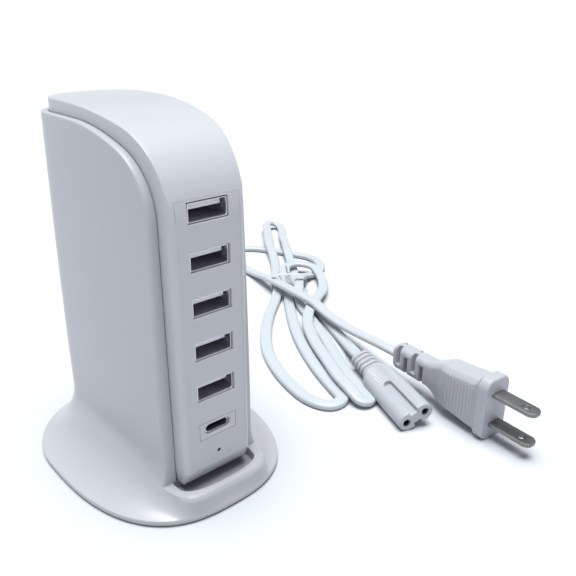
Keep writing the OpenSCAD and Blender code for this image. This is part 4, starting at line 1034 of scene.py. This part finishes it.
# Width, height and corner radius of the plug at x: strain relief, shoulders, grip, flange
def plug_size(x):
    if x < RELIEF_LEN:
        d = round_end(x, 2)
        return 7.6 + 0.02 * x - 1.6 * d, 11 + 0.03 * x - 2 * d, 2.4
    if x < SHOULDER_TO:
        t = (x - RELIEF_LEN) / (SHOULDER_TO - RELIEF_LEN)
        return 8 + 2.8 * ease(t), 11.6 + 8.4 * (0.35 * t + 0.65 * ease(t)), 2.4 + 0.4 * t
    if x < FLANGE:
        t = (x - SHOULDER_TO) / (FLANGE - SHOULDER_TO)
        w, h = 10.8 + 1.0 * t, 20 + 3 * t**1.4
        k = round_end(FLANGE - x, 0.5) / 0.5
        return w + (13.0 - w) * k, h + (25.6 - h) * k, 2.8
    d = round_end(x - FLANGE, FLANGE_ROUND)
    if x > PLUG_LEN - FLANGE_END:
        d = round_end(PLUG_LEN - x, FLANGE_END)
    return FLANGE_W - 2 * d, FLANGE_H - 2 * d, 4.2


# Slots cut into the strain relief from both sides in turn
def relief_slots(x, y, z):
    for i, start in enumerate(SLOT_X):
        into_x = min(x - start, start + SLOT_W - x)
        into_z = SLOT_REACH + z if i % 2 == 0 else SLOT_REACH - z
        depth = cut(min(into_x, into_z), SLOT_DEEP, 0.3)
        if depth > 0:
            y = copysign(min(abs(y), RELIEF_HALF - depth), y)
    return y


# Raised panel on the plug's broad sides, with ribs across it
def grip_panel(x, z, h, r):
    broad = ease((h / 2 - abs(z) - r * 0.5) / 0.8)
    panel_at = min((x - 27.2) - 0.22 * abs(z), 46.2 - x, 0.30 * (x - RELIEF_LEN) + 5.6 - abs(z))
    rise = PANEL_RISE * ease(panel_at / 0.9) * broad
    k, near = nearest_rib(x, PLUG_RIB_AT, PLUG_RIB_STEP)
    if 31.6 < x < 45.6 and abs(z) < PLUG_RIB_HALF and -0.4 < k < 8.3:
        rise += PLUG_RIB * ease((0.52 - near) / 0.34) * ease((PLUG_RIB_HALF - abs(z)) / 0.5)
    return rise


# Plug: slotted strain relief, creased shoulders, ribbed grip and rounded flange
def plug():
    steps = [0, 0.08, 0.2, 0.4, 0.7, 1.0, 1.5, 2.0] + [x + d for x in SLOT_X for d in SLOT_STEPS]
    steps += [*np.arange(19, 31, 0.3), *np.arange(31, 47.3, 0.16)] + [FLANGE + d for d in FLANGE_STEPS]
    steps += [PLUG_LEN - FLANGE_END + FLANGE_END * sin(radians(a)) for a in range(0, 91, 10)]
    rows = []
    for x in sorted({round(x, 4) for x in steps}):
        w, h, r = plug_size(x)
        out = []
        for y, z in section(w, h, r, 8, 10, 64):
            if x < RELIEF_LEN:
                y = relief_slots(x, y, z)
            elif x < FLANGE - 0.4:
                y = copysign(abs(y) + grip_panel(x, z, h, r), y)
            out.append((x, y, z))
        rows.append(out)
    s = Shape()
    s.tube(rows)
    s.cap(rows[0], flip=True)
    s.cap(rows[-1])
    s.move(PLUG_AT)
    return s.build("plug", "lead_white", ["plug_body"], sharp=50)


BLADE_W, BLADE_T, BLADE_TIP, BLADE_ROUND, BLADE_IN, BLADE_OFF = 6.35, 1.5, 17.5, 0.18, -6, 6.35
PIN_HOLE_R, PIN_HOLE_X, PIN_HOLE_EDGE = 1.3, 12.5, 0.12


# Plug blade with a chamfered tip and a hole, edges slightly rounded
def blade(side):
    def outline(d):
        tip, half = BLADE_TIP, BLADE_W / 2
        upper = [(tip - d, half / 2 - 0.4), (tip - 0.4 - d, half / 2 + 0.5)]
        upper += [(tip - 2 - d * 0.3, half - d), (BLADE_IN, half - d)]
        return np.array([(x, -y) for x, y in upper[::-1]] + upper)

    s = Shape()
    rows = [lay(outline(BLADE_ROUND * d), BLADE_T / 2 - BLADE_ROUND * e) for d, e in quarter(5)]
    rows += [row * [1, 1, -1] for row in rows[::-1]]
    s.tube(rows, flip=True)
    hole = circle(PIN_HOLE_R + PIN_HOLE_EDGE, 32, PIN_HOLE_X)
    for z, flip in ((BLADE_T / 2, False), (-BLADE_T / 2, True)):
        s.sheet(lay, z, outline(BLADE_ROUND), [hole], flip=flip)
    wall = [lay(hole, BLADE_T / 2)]
    wall.append(lay(circle(PIN_HOLE_R, 32, PIN_HOLE_X), BLADE_T / 2 - PIN_HOLE_EDGE))
    wall += [row * [1, 1, -1] for row in wall[::-1]]
    s.tube(wall)
    s.points = [p + [PLUG_LEN, 0, side * BLADE_OFF] for p in s.points]
    s.move(PLUG_AT)
    return s.build("blade_upper" if side > 0 else "blade_lower", "nickel", ["plug_blades"], sharp=35)


TIE_AT, TIE_ACROSS = np.array([129.1, 74.7, 5.7]), np.array([0.8, -0.6, 0])
TIE_HALF_W, TIE_HALF_H = 9.8, 5.1
BAND_HALF, BAND_T, WIRE_T, WIRE_HALF = 1.3, 0.22, 0.33, 0.4
TWIST_STEPS, TWIST_TURNS, TWIST_LEN, TWIST_R, TWIST_WIRE_R = 60, 4, 11.5, 0.62, 0.5


# Coated wire round the bundle: a flat band with the wire along its middle, then a twist
def tie():
    across, upward = TIE_ACROSS, np.array([0, 0, 1])
    along = np.cross(upward, across)
    s = Shape()
    rows = []
    for a in np.radians(np.arange(0, 360, 5)):
        c, q = cos(a), sin(a)
        out = TIE_HALF_W * copysign(abs(c) ** 0.5, c) * across
        out = out + TIE_HALF_H * copysign(abs(q) ** 0.5, q) * upward
        normal = out / np.linalg.norm(out)
        ring = []
        for b in np.radians(np.arange(0, 360, 24)):
            wide, high = BAND_HALF * cos(b), sin(b)
            bulge = BAND_T + WIRE_T * exp(-((wide / WIRE_HALF) ** 2))
            high = copysign(abs(high) ** 0.7, high)
            ring.append(TIE_AT + out + along * wide + normal * bulge * high)
        rows.append(ring)
    s.tube(rows + rows[:1])
    for phase in (0, pi):
        tail = []
        for u in np.arange(TWIST_STEPS) / (TWIST_STEPS - 1):
            turn = phase + u * TWIST_TURNS * 2 * pi
            reach = TWIST_R + 0.7 * max(0, u - 0.85)
            centre = TIE_AT + (TIE_HALF_H + 0.3 - 0.4 * u) * upward + along * (TWIST_LEN * u)
            centre = centre + reach * (cos(turn) * across + sin(turn) * upward)
            tail.append([centre + TWIST_WIRE_R * (cos(b) * across + sin(b) * upward)
                         for b in np.radians(np.arange(0, 360, 45))])
        s.tube(tail, flip=True)
        s.cap(tail[0])
        s.cap(tail[-1], flip=True)
    return s.build("tie", "tie_wire", ["twist_tie"], sharp=50)


cord_piece, cord_path, cord_length = cord()
connector_piece, sleeve_piece, plug_piece = connector(), sleeves(), plug()
blades = [blade(1), blade(-1)]
tie_piece = tie()


shell()
cover()
slot_pan()
core()
panel()
bezel()
for number, height in enumerate(PORTS_Z, 1):
    usb_a(number, height)


FLOOR_R, FLOOR_SIDES, WALL_H, WALL_GLOW = 25, 72, 1.5, 0.95
SUN_ENERGY, SUN_ANGLE, SUN_COLOUR, SUN_AIM = 5.0, 42, (0.975, 0.985, 1.0), (0.03, -0.01, -1)
SKY_COLOUR, SKY_STRENGTH = (0.90, 0.95, 1.0, 1), 0.38


def stage_piece(name, points, faces, material):
    mesh = bpy.data.meshes.new(name)
    mesh.from_pydata(points, [], faces)
    mesh.materials.append(MATERIALS[material])
    new_object(name, mesh)


def floor():
    n = FLOOR_SIDES
    ring = [(FLOOR_R * cos(a), FLOOR_R * sin(a)) for a in np.radians(np.arange(0, 360, 360 / n))]
    plastic("floor_pale", (0.55, 0.57, 0.60), 0.9, wave=0.0, grain=0.0, shift=0.0, Specular_IOR_Level=0.1)
    stage_piece("floor", [(x, y, 0) for x, y in ring], [range(n)], "floor_pale")
    _, shader = node_material("wall_bright", (0.8, 0.8, 0.8), 0.9)
    shader.inputs["Emission Color"].default_value = (0.92, 0.96, 1, 1)
    shader.inputs["Emission Strength"].default_value = WALL_GLOW
    points = [(x, y, z) for z in (0, WALL_H) for x, y in ring]
    stage_piece("wall", points, [(i, (i + 1) % n, n + (i + 1) % n, n + i) for i in range(n)], "wall_bright")


def lights():
    data = bpy.data.lights.new("overhead", "SUN")
    data.energy, data.angle, data.color = SUN_ENERGY, radians(SUN_ANGLE), SUN_COLOUR
    new_object("overhead", data).rotation_euler = Vector(SUN_AIM).to_track_quat("-Z", "Y").to_euler()
    world = bpy.data.worlds.new("studio")
    world.use_nodes = True
    background = world.node_tree.nodes["Background"]
    background.inputs["Color"].default_value = SKY_COLOUR
    background.inputs["Strength"].default_value = SKY_STRENGTH
    scene.world = world
    scene.view_settings.view_transform = "Standard"
    scene.view_settings.look = "None"


floor()
lights()
